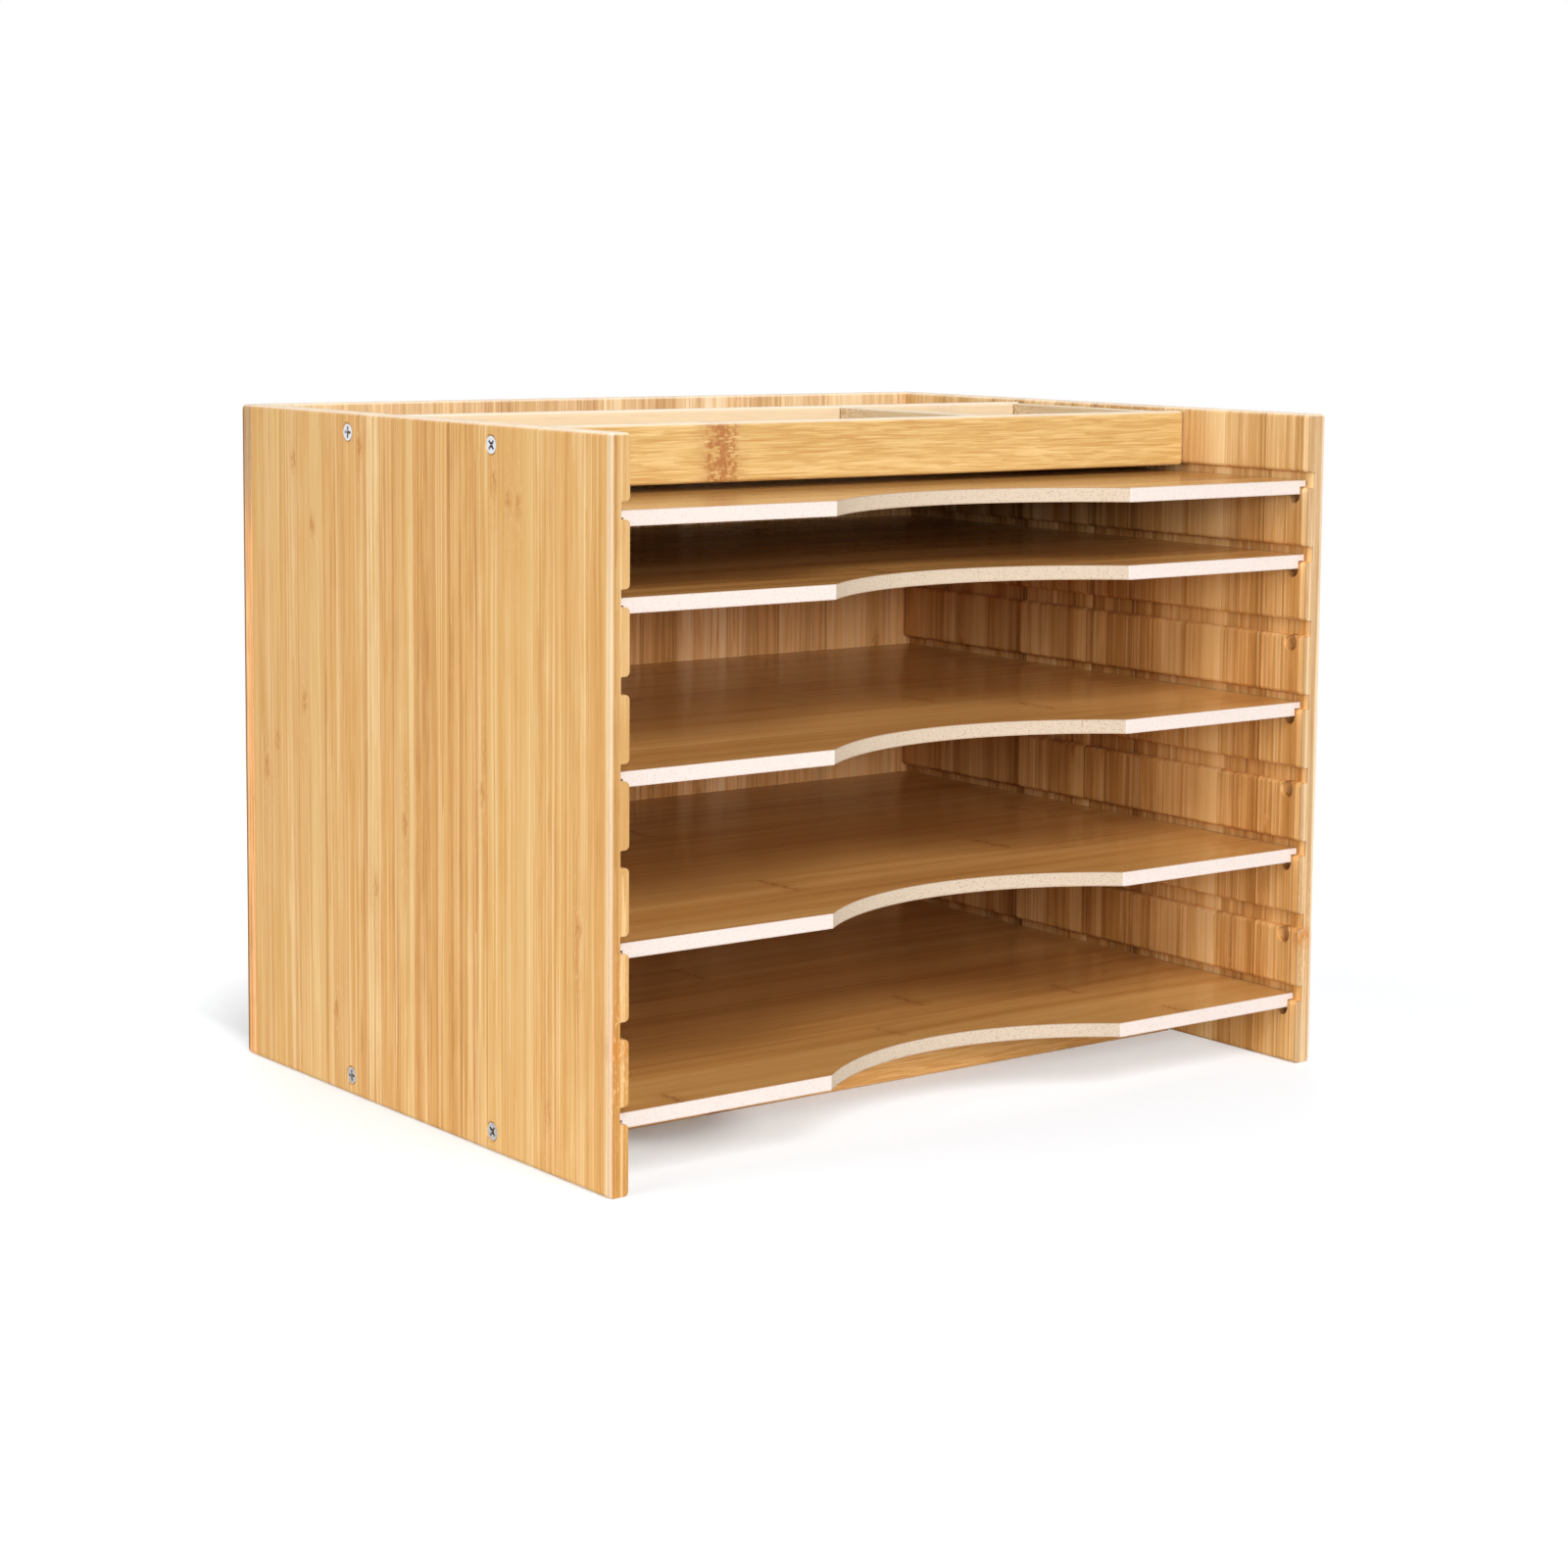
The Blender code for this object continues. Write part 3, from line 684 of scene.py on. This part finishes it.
def drilled_tree(material):
    """Geometry Nodes: the stop holes under the grooves and a hole for every screw."""
    graph, given = geometry_tree("drilled holes", Float=(
        "Inner Face", "Stop Place", "First Stop", "Pitch", "Stop Radius", "Stop Depth",
        "Head Radius", "Shank Radius", "Screw Length"),
        Int=("Grooves", "Facets"), Object=("Screw Places",))
    first = graph.vector(given["Inner Face"], given["Stop Place"], given["First Stop"])
    stops = graph.make("MeshLine", Count=given["Grooves"], Start_Location=first,
                       Offset=graph.vector(0.0, 0.0, given["Pitch"]))
    bit = graph.make("MeshCylinder", Vertices=given["Facets"], Radius=given["Stop Radius"],
                     Depth=given["Stop Depth"] * 2.0)
    bits = graph.make("InstanceOnPoints", Points=stops, Instance=bit, Rotation=(0.0, math.pi / 2, 0.0))
    bits = graph.make("RealizeInstances", Geometry=bits)

    # A countersink and a shank hole, along four stations from just outside the board.
    index = graph.make("InputIndex")
    cone = given["Head Radius"] - given["Shank Radius"]
    below_cone = index > 1.5
    depth = below_cone * cone + (index < 0.5) * -0.001
    depth = depth + (index > 2.5) * (given["Screw Length"] - cone)
    line = graph.make("MeshLine", Count=4, Offset=(0.0, 0.0, 1.0))
    line = graph.make("SetPosition", Geometry=line, Position=graph.vector(0.0, 0.0, depth))
    line = graph.make("MeshToCurve", Mesh=line)
    countersink = turned(graph, line, given["Head Radius"] - below_cone * cone, given["Facets"])
    places = graph.make("ObjectInfo", Object=given["Screw Places"], output="Geometry")
    holes = put_on_points(graph, places, countersink)
    return close_tree(graph, cut(graph, given["Geometry"], bits, holes), material)


def put_on_points(graph, places, item):
    """Instances of item on the screw places, each along its own direction at its own turn."""
    direction = graph.make("InputNamedAttribute", Name="direction", data_type="FLOAT_VECTOR")
    spin = graph.make("InputNamedAttribute", Name="spin", data_type="FLOAT")
    aim = graph.out("FunctionNodeAlignRotationToVector", Vector=direction, axis="Z")
    about = graph.out("FunctionNodeAxisAngleToRotation", Axis=(0.0, 0.0, 1.0), Angle=spin)
    aim = graph.out("FunctionNodeRotateRotation", Rotation=aim, Rotate_By=about, rotation_space="LOCAL")
    points = graph.make("MeshToPoints", Mesh=places)
    placed = graph.make("InstanceOnPoints", Points=points, Instance=item, Rotation=aim)
    return graph.make("RealizeInstances", Geometry=placed)


def screw_head(name):
    """The middle of a screw's head, its driving direction, head radius and length."""
    low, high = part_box(name)
    size = high - low
    axis = max(range(3), key=lambda i: size[i])
    head = (low + high) / 2
    from_low = abs(low[axis] - CAD_BOX[0][axis]) < abs(high[axis] - CAD_BOX[1][axis])
    direction = Vector((0.0, 0.0, 0.0))
    direction[axis] = 1.0 if from_low else -1.0
    head[axis] = low[axis] if from_low else high[axis]
    return head, direction, size[(axis + 1) % 3] / 2, size[axis]


def screw_places():
    """An object with a point on every screw's head, and the head radius and length."""
    heads = [screw_head(name) for name in SCREWS]
    mesh = bpy.data.meshes.new("screw places")
    mesh.from_pydata([head for head, *_ in heads], [], [])
    directions = mesh.attributes.new("direction", "FLOAT_VECTOR", "POINT")
    for item, (_, way, *_) in zip(directions.data, heads):
        item.vector = way
    spins = mesh.attributes.new("spin", "FLOAT", "POINT")
    for index, item in enumerate(spins.data):
        item.value = math.radians(FIRST_SPIN + NEXT_SPIN * index)
    _, _, head_radius, screw_length = heads[0]
    return new_object("screw places", mesh), head_radius, screw_length


def side_panel(name, side, look, shape, screws):
    """A side panel in place of its CAD node; side is -1 at the left and 1 at the right."""
    low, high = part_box(name)
    inner, outer = (high.x, low.x) if side < 0 else (low.x, high.x)
    height = high.z - low.z
    pitch = (height - shape.top_groove_drop - shape.first_groove) / (shape.grooves - 1)
    hidden = abs(inner) + shape.groove_depth
    # The open front edge's painted shade: graded from the foot up on the left panel, even on the right one.
    painted_edge_shades = ((look.painted_foot_shade, look.edge_tint) if side < 0 else
                  (look.far_edge_tint, look.far_edge_tint))
    material = glued_strips(name + " bamboo", look, "yxz",
                            (look.strip_width, look.inner_strip_contrast),
                            (hidden + 0.001, hidden), (low.y, high.y, abs(outer), high.z),
                            (look.outer_tint, look.painted_inner_light, look.painted_rim_light, *painted_edge_shades))
    panel = new_object(name + "_board")
    add_tree(panel, grooved_side_tree(material), shape, inner_face=inner, side=side,
             front=low.y, rear=high.y, height=height, thickness=abs(outer - inner),
             pitch=pitch, seam_weight=shape.seam_radius / shape.front_radius)
    bevel = panel.modifiers.new("rounded front", "BEVEL")
    bevel.limit_method = "WEIGHT"
    bevel.width = shape.front_radius
    bevel.segments = shape.facets
    places, head_radius, screw_length = screw_places()
    room = shape.hole_clearance
    add_tree(panel, drilled_tree(material), shape, inner_face=inner, pitch=pitch,
             stop_place=low.y + shape.stop_setback,
             first_stop=shape.first_groove - shape.stop_drop,
             head_radius=head_radius + 2.0 * room,
             shank_radius=screws.shank_radius + room + THREAD_ROOM,
             screw_length=screw_length + room, facets=screws.sides, screw_places=places)
    panel = plain_mesh(panel, name + "_board")
    round_off(panel, degrees=35.0)
    panel = flat_faces(panel, name + "_board")
    bpy.data.objects.remove(places)
    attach(panel, FIXED_BODY)
    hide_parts(name)


class FILESORTER_OT_sides(Operator):
    """Make both grooved side panels by Geometry Nodes, in edge-glued bamboo"""

    bl_idname = "file_sorter.sides"
    bl_label = "Side Panels"

    def execute(self, context):
        settings = context.scene.file_sorter
        for name, side in zip(SIDE_PANELS, (-1.0, 1.0)):
            side_panel(name, side, settings.panels, settings.sides, settings.screws)
        return {"FINISHED"}


class FILESORTER_OT_back(Operator):
    """Finish the back panel as edge-glued bamboo"""

    bl_idname = "file_sorter.back"
    bl_label = "Back Panel"

    def execute(self, context):
        look = context.scene.file_sorter.panels
        low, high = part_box("back_panel")

        # Its upright edges get no painted edge shade or painted highlight of their own: their places are
        # set well beyond it. Its inner face gets painted light: a brighter tint, with a cooler one above
        # the top shelf.
        dress(("back_panel",), glued_strips(
            "back bamboo", look, "xyz", (look.back_strip_width, look.back_strip_contrast),
            (high.y - 0.001, high.y - 0.003), (2.0 * low.x, 2.0 * high.x, high.y, high.z),
            (look.outer_tint, look.back_tint, look.back_rim_tint, look.edge_tint,
             look.edge_tint)))
        return {"FINISHED"}


class FILESORTER_OT_tray(Operator):
    """Finish the tray's boards, ends, divider and base"""

    bl_idname = "file_sorter.tray"
    bl_label = "Tray"

    def execute(self, context):
        look = context.scene.file_sorter.boards
        place = look.node_place
        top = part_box("tray_front_board")[1].z
        dress(("tray_front_board",), flat_board("tray front bamboo", look, "zyx", place, top=top))
        dress(("tray_rear_board",), flat_board(
            "tray rear bamboo", look, "zyx", place + REAR_BOARD_SHIFT, paleness=0.72, top=top))
        dress(TRAY_SHORT_BOARDS, flat_board(
            "tray end bamboo", look, "zxy", place, paleness=0.60, pores=0.55, top=top))
        dress(("tray_base",), flat_board(
            "tray base bamboo", look, "yzx", place + BASE_SHIFT, paleness=0.45))
        return {"FINISHED"}


class FILESORTER_OT_rails(Operator):
    """Finish the two bottom rails"""

    bl_idname = "file_sorter.rails"
    bl_label = "Bottom Rails"

    def execute(self, context):
        look = context.scene.file_sorter.boards
        # Painted light: the rails are tinted brighter and warmer, where they lie in shade under the lowest
        # shelf.
        dress(RAILS, flat_board("rail bamboo", look, "zyx", look.node_place, tint=look.rail_tint))
        return {"FINISHED"}


# Shelves ------------------------


class ShelfLook(PropertyGroup):
    deep: colour_prop("Deep print", "Colour of the printed grain's dark streaks", (0.425, 0.190, 0.051))
    middle: colour_prop("Print", "Colour of the printed face", (0.560, 0.288, 0.085))
    pale: colour_prop("Pale print", "Colour of the printed grain's light streaks", (0.655, 0.375, 0.126))
    node_mark: colour_prop("Printed node", "Colour of the printed cane nodes", (0.330, 0.130, 0.035))
    sealed_edge: colour_prop("Sealed edge", "Colour of the straight front edge", (0.635, 0.548, 0.500))
    fibreboard: colour_prop("Fibreboard", "Colour of the sawn edges", (0.520, 0.420, 0.318))
    speck: colour_prop("Speck", "Colour of the specks in the sawn edges", (0.300, 0.190, 0.120))
    paper_edge: length_prop("Paper edge", "Thickness of the darker line beside a printed face", 0.00045)
    print_strip: length_prop("Printed strip", "Width of a strip in the printed pattern", 0.021, 0.005)
    node_spacing: length_prop("Node spacing", "Distance between a printed cane's nodes", 0.24, 0.05)
    gloss_roughness: share_prop("Print roughness", "Roughness of the printed faces", 0.17)
    edge_relief: length_prop("Edge relief", "Height of the sawn edges' fibres", 0.00008)


def printed_board(name, look, low, high, tongue_start, place):
    """Printed bamboo on both faces and fibreboard on every sawn edge and rabbet.

    low and high are the board's corners; place picks its own stretch of the print.
    """
    shader = Shader(name)
    across = shader.y + place
    (tone, shift, lean), _ = shader.cells(across * (1.0 / look.print_strip), 0.6)
    cane = shader.x + shift * 7.0
    wave = shader.vector(cane * 8.0, across * 20.0, place).noise(1.0)
    bent = across + wave * 0.012

    def lengthwise(per_metre, per_metre_along):
        return shader.vector(cane * per_metre_along, bent * per_metre, place)

    streaks = lengthwise(110.0, 2.5).noise(3.0, 0.55)
    fine = lengthwise(900.0, 14.0).noise(2.0, 0.6)
    flecks = lengthwise(1100.0, 90.0).patches()
    level = shader.level((tone, 0.32), (streaks, 1.25), (fine, 0.35), (flecks[0], 0.07))
    face = shader.ramp(level, (0.10, look.deep), (0.50, look.middle), (0.90, look.pale))
    face = shader.mix((flecks[1] > 0.93) * 0.25, face, look.deep)

    # The printed canes' nodes: a thin ragged line across each strip.
    turn = shader.math("FRACT", shader.x * (1.0 / look.node_spacing) + shift)
    ragged = lengthwise(420.0, 120.0).noise(3.0, 0.6)
    from_node = abs((turn - 0.5) * look.node_spacing + (ragged - 0.5) * 0.010)
    mark = shader.total((from_node.fade(0.0012, 0.0002), 0.60), (from_node.fade(0.008, 0.0), 0.22))
    face = shader.mix(mark * lean.fade(0.30, 0.60), face, look.node_mark)

    # The front edge is sealed; the edges behind it, the arc and the rabbets are left sawn.
    specks = shader.point.scaled(1500.0, 1500.0, 2200.0).noise(3.0, 0.7)
    behind = shader.y > low.y + 0.0004
    sawn = shader.mix(behind, look.sealed_edge, look.fibreboard)
    speckled = specks.fade(0.53, 0.66) * (behind * 0.50 + 0.35)
    sawn = shader.mix(speckled, sawn, look.speck)
    from_face = shader.math("MINIMUM", shader.z - low.z, high.z - shader.z)
    paper = from_face.fade(look.paper_edge, look.paper_edge * 0.3)
    sawn = shader.mix(paper * (behind * 0.35 + 0.40), sawn, look.speck)

    facing = shader.out("ShaderNodeNewGeometry", output="Normal").split()[2]
    rabbet = (abs(shader.x) > tongue_start) * (facing < 0.0)
    printed = abs(facing).fade(0.6, 0.8) * (1.0 - rabbet)
    smooth = fine * 0.06 + look.gloss_roughness
    roughness = (smooth - 0.75) * printed + 0.75
    shader.coat(Specular_IOR_Level=0.25)
    return shader.finish(shader.mix(printed, sawn, face), roughness,
                         specks * (1.0 - printed), look.edge_relief)


class FILESORTER_OT_shelves(Operator):
    """Finish the five sliding shelves as printed fibreboard"""

    bl_idname = "file_sorter.shelves"
    bl_label = "Shelves"

    def execute(self, context):
        look = context.scene.file_sorter.shelves
        inner_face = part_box("right_side_panel")[0].x
        for index, name in enumerate(SHELVES):
            low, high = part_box(name)
            place = FIRST_PRINT + NEXT_PRINT * index
            dress((name,), printed_board(name + " print", look, low, high, inner_face, place))
        return {"FINISHED"}


# Screws ------------------------


class ScrewLook(PropertyGroup):
    zinc: colour_prop("Zinc", "Colour of the zinc plating", (0.86, 0.87, 0.90))
    roughness: share_prop("Roughness", "Roughness of the plating", 0.26)
    head_land: length_prop("Head land", "Height of the head's straight rim", 0.0002)
    shank_radius: length_prop("Shank radius", "Radius of the shank under the thread", 0.0016, 0.0005)
    tip_length: length_prop("Tip length", "Length of the pointed tip", 0.004, 0.001)
    thread_pitch: length_prop("Thread pitch", "Distance between the thread's turns", 0.0016, 0.0005)
    thread_depth: length_prop("Thread depth", "Height of the thread over the shank", 0.0003)
    recess_span: length_prop("Recess span", "Width of the driver's cross, tip to tip", 0.0044, 0.001)
    recess_width: length_prop("Recess width", "Width of one arm of the cross", 0.0010, 0.0002)
    recess_depth: length_prop("Recess depth", "Depth of the driver's cross", 0.0019, 0.0002)
    sides: count_prop("Sides", "Facets round a screw", 28, 8)


def zinc_plating(look):
    shader = Shader("zinc plating")
    clouds = shader.point.scaled(900.0, 900.0, 900.0).noise(3.0, 0.6)
    dull = tuple(0.78 * part for part in look.zinc)
    colour = shader.mix(clouds, look.zinc, dull)
    shader.coat(Metallic=1.0)
    return shader.finish(colour, clouds * 0.16 + (look.roughness - 0.08), clouds, 0.00002)


def screw_tree(material):
    """Geometry Nodes: a turned, threaded screw with a cross recess on every input point."""
    graph, given = geometry_tree("countersunk screws", Float=(
        "Head Radius", "Length", "Head Land", "Shank Radius", "Tip Length", "Thread Pitch",
        "Thread Depth", "Recess Span", "Recess Width", "Recess Depth"), Int=("Sides",))
    shank = given["Shank Radius"]

    # The outline: a straight rim, a 90 degree cone, the shank and a pointed tip.
    line = graph.make("CurvePrimitiveLine", End=graph.vector(0.0, 0.0, given["Length"]))
    line = graph.make("ResampleCurve", Curve=line, Count=OUTLINE_STATIONS)
    position = graph.make("InputPosition")
    depth = position.split()[2]
    cone = given["Head Radius"] - graph.math("MAXIMUM", depth - given["Head Land"], 0.0)
    left = (given["Length"] - depth) / given["Tip Length"]
    tip = shank * (left + 0.08)
    radius = graph.math("MINIMUM", graph.math("MAXIMUM", cone, shank), tip)
    screw = turned(graph, line, radius, given["Sides"])

    # The thread: a sharp ridge that climbs one pitch for each turn, on the shank only.
    x, y, z = position.split()
    angle = graph.math("ARCTAN2", y, x) * (1.0 / math.tau)
    turn = graph.math("FRACT", z / given["Thread Pitch"] + angle)
    ridge = graph.math("POWER", abs(turn * 2.0 - 1.0), 3.0) * given["Thread Depth"]
    ridge = ridge * (z > given["Head Radius"] + given["Thread Pitch"])
    outward = graph.out("ShaderNodeVectorMath", {0: graph.vector(x, y, 0.0)}, operation="NORMALIZE")
    offset = graph.out("ShaderNodeVectorMath", {0: outward, "Scale": ridge}, operation="SCALE")
    screw = graph.make("SetPosition", Geometry=screw, Offset=offset)

    # The driver's cross: two crossed bars and a cone where they meet.
    span, width, deep = (given["Recess " + name] for name in ("Span", "Width", "Depth"))
    bars = [graph.make("MeshCube", Size=graph.vector(*size, deep * 2.0))
            for size in ((span, width), (width, span))]
    centre = graph.make("MeshCone", Vertices=12, Radius_Top=width * 0.5, Radius_Bottom=width * 1.05,
                        Depth=deep * 1.2)
    centre = graph.make("Transform", Geometry=centre, Translation=graph.vector(0.0, 0.0, deep * -0.05))
    screws = put_on_points(graph, given["Geometry"], cut(graph, screw, *bars, centre))
    return close_tree(graph, screws, material)


class FILESORTER_OT_screws(Operator):
    """Make every wood screw with its cross recess and thread, by Geometry Nodes"""

    bl_idname = "file_sorter.screws"
    bl_label = "Screws"

    def execute(self, context):
        look = context.scene.file_sorter.screws
        places, head_radius, screw_length = screw_places()
        add_tree(places, screw_tree(zinc_plating(look)), look, head_radius=head_radius,
                 length=screw_length)
        screws = plain_mesh(places, "wood_screws")
        round_off(screws, degrees=38.0)
        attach(screws, FIXED_BODY)
        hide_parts(*SCREWS)
        return {"FINISHED"}


# Studio ------------------------


class StudioLook(PropertyGroup):
    azimuth: angle_prop("Azimuth", "How far the camera stands to the left of the front", 37.83)
    elevation: angle_prop("Elevation", "How far the camera looks down", 6.17)
    roll: angle_prop("Roll", "How far the camera leans", 0.54)
    distance: length_prop("Distance", "From the camera to the point it looks at", 1.294)
    aim: FloatVectorProperty(
        name="Aim", description="The point the camera looks at",
        subtype="TRANSLATION", size=3, default=(0.01702, -0.01125, 0.17362))
    focal_length: amount_prop("Focal length", "The lens, in millimetres, on a 36 mm sensor", 74.9)
    shift: FloatVectorProperty(
        name="Shift", description="The lens's shift, across and up", size=2,
        default=(-0.03125, -0.1))
    sky: amount_prop("Sky", "Strength of the even light all around", 0.02)
    left: power_prop("Left", "Power of the softbox at the left", 18.6)
    low_left: power_prop("Low left", "Power of the low softbox at the left", 10.2)
    front: power_prop("Front", "Power of the low softbox in front", 27.2)
    high: power_prop("High", "Power of the high softbox in front", 28.9)
    right: power_prop("Right", "Power of the softbox at the front right", 10.5)
    rear: power_prop("Rear", "Power of the softbox behind", 20.0)


SOFTBOX_PLACES_AND_SIZES = {
    "left": ((-2.0, -0.1, 0.7), (1.2, 1.0)),
    "low_left": ((-2.0, -0.5, 0.25), (1.2, 0.5)),
    "front": ((-0.5, -2.0, 0.6), (1.2, 0.5)),
    "high": ((-0.3, -1.6, 1.4), (1.4, 0.8)),
    "right": ((1.6, -1.5, 0.8), (1.0, 1.0)),
    "rear": ((0.7, 1.8, 1.8), (2.4, 1.0)),
}
SOFTBOX_TARGET = Vector((0.0, 0.0, 0.12))


def area_light(name, place, size, power):
    """A softbox that the camera doesn't see."""
    light = bpy.data.lights.new(name, "AREA")
    light.shape = "RECTANGLE"
    light.size, light.size_y = size
    light.energy = power
    lamp = new_object(name, light)
    lamp.location = place
    lamp.rotation_euler = (SOFTBOX_TARGET - Vector(place)).to_track_quat("-Z", "Y").to_euler()
    lamp.visible_camera = False


def camera_at(look):
    """A camera that looks at the aim point, with its own horizon, lens and shift."""
    ahead = Vector((math.sin(look.azimuth) * math.cos(look.elevation),
                    math.cos(look.azimuth) * math.cos(look.elevation),
                    -math.sin(look.elevation)))
    level = Vector((math.cos(look.azimuth), -math.sin(look.azimuth), 0.0))
    upright = level.cross(ahead)
    right = math.cos(look.roll) * level + math.sin(look.roll) * upright
    up = math.cos(look.roll) * upright - math.sin(look.roll) * level
    camera = bpy.data.cameras.new("camera")
    camera.sensor_width = 36.0
    camera.lens = look.focal_length
    camera.shift_x, camera.shift_y = look.shift
    camera.clip_end = 50.0
    item = new_object("camera", camera)
    turn = Matrix((right, up, -ahead)).transposed().to_4x4()
    item.matrix_world = Matrix.Translation(Vector(look.aim) - look.distance * ahead) @ turn
    return item


def studio_floor(half_width):
    """A pale floor that melts into the white surroundings away from the object."""
    shader = Shader("studio floor")
    clouds = shader.point.noise(2.0)
    colour = shader.mix(clouds, (0.62, 0.65, 0.68), (0.60, 0.63, 0.66))
    away = shader.out("ShaderNodeVectorMath", {0: shader.point}, output=1, operation="LENGTH")
    seen = shader.out("ShaderNodeLightPath", output="Is Camera Ray")

    def from_place(x, y):
        return shader.out("ShaderNodeVectorMath", {0: shader.point, 1: (x, y, 0.0)}, output=1,
                          operation="DISTANCE")

    # Painted light and shadow: a glow that only the camera sees whitens the floor, most away from the
    # object; it is painted weaker as a shadow under the front, darkest towards the left, and a little
    # stronger just in front of it.
    between = abs(shader.x).fade(0.165, 0.150)
    under = between * shader.y.fade(-0.090, -0.030)
    before = between * shader.y.fade(-0.140, -0.100)
    glow = shader.total((from_place(0.03, -0.13).fade(0.27, 0.50), 0.60),
                        (before, 0.09), (under, -0.26),
                        (from_place(-0.10, -0.055).fade(0.045, 0.015), -0.25),
                        start=0.40)
    shader.coat(Alpha=away.fade(0.9, 0.5), Emission_Color=WHITE, Emission_Strength=seen * glow)
    mesh = bpy.data.meshes.new("studio_floor")
    corners = [(x * half_width, y * half_width, 0.0) for x, y in ((-1, -1), (1, -1), (1, 1), (-1, 1))]
    mesh.from_pydata(corners, [], [(0, 1, 2, 3)])
    mesh.materials.append(shader.finish(colour, 0.7, clouds, 0.0))
    floor = new_object("studio_floor", mesh)


def white_surroundings(strength):
    """White to look at, and a weaker even light on everything else."""
    world = bpy.data.worlds.new("white studio")
    world.use_nodes = True
    graph = Graph(world.node_tree)
    rays = graph.outs("ShaderNodeLightPath")
    shown = graph.math("MAXIMUM", rays["Is Camera Ray"], rays["Is Glossy Ray"])
    sky = world.node_tree.nodes["Background"].inputs
    graph.feed(sky["Color"], WHITE)
    graph.feed(sky["Strength"], graph.math("MAXIMUM", shown, strength))
    return world


class FILESORTER_OT_studio(Operator):
    """Set up the floor, the lights and the camera"""

    bl_idname = "file_sorter.studio"
    bl_label = "Studio"

    def execute(self, context):
        look = context.scene.file_sorter.studio
        studio_floor(half_width=1.0)
        context.scene.world = white_surroundings(look.sky)
        for name, (place, size) in SOFTBOX_PLACES_AND_SIZES.items():
            area_light(name.replace("_", " ") + " softbox", place, size, getattr(look, name))
        context.scene.camera = camera_at(look)
        context.scene.view_settings.view_transform = "Standard"
        return {"FINISHED"}


# Add-on ------------------------


class FileSorterSettings(PropertyGroup):
    panels: PointerProperty(type=BambooLook, name="Panels", description="The glued panels")
    sides: PointerProperty(type=SidesShape, name="Sides", description="The grooved side panels")
    boards: PointerProperty(type=FlatBambooLook, name="Boards", description="Tray and rails")
    shelves: PointerProperty(type=ShelfLook, name="Shelves", description="The sliding shelves")
    screws: PointerProperty(type=ScrewLook, name="Screws", description="The wood screws")
    studio: PointerProperty(type=StudioLook, name="Studio", description="Floor, light, camera")


OPERATORS = (FILESORTER_OT_sides, FILESORTER_OT_back, FILESORTER_OT_tray, FILESORTER_OT_rails,
             FILESORTER_OT_shelves, FILESORTER_OT_screws, FILESORTER_OT_studio)


class FILESORTER_PT_sidebar(Panel):
    """The pieces of the file sorter and its studio"""

    bl_idname = "FILESORTER_PT_sidebar"
    bl_label = "File Sorter"
    bl_space_type = "VIEW_3D"
    bl_region_type = "UI"
    bl_category = "File Sorter"

    def draw(self, context):
        for operator in OPERATORS:
            self.layout.operator(operator.bl_idname)


CLASSES = (BambooLook, SidesShape, FlatBambooLook, ShelfLook, ScrewLook, StudioLook,
           FileSorterSettings, *OPERATORS, FILESORTER_PT_sidebar)


def register():
    for item in CLASSES:
        bpy.utils.register_class(item)
    bpy.types.Scene.file_sorter = PointerProperty(type=FileSorterSettings)


def unregister():
    del bpy.types.Scene.file_sorter
    for item in reversed(CLASSES):
        bpy.utils.unregister_class(item)


def main():
    register()
    bpy.ops.file_sorter.sides()
    bpy.ops.file_sorter.back()
    bpy.ops.file_sorter.tray()
    bpy.ops.file_sorter.rails()
    bpy.ops.file_sorter.shelves()
    bpy.ops.file_sorter.screws()
    bpy.ops.file_sorter.studio()


if __name__ == "__main__":
    main()
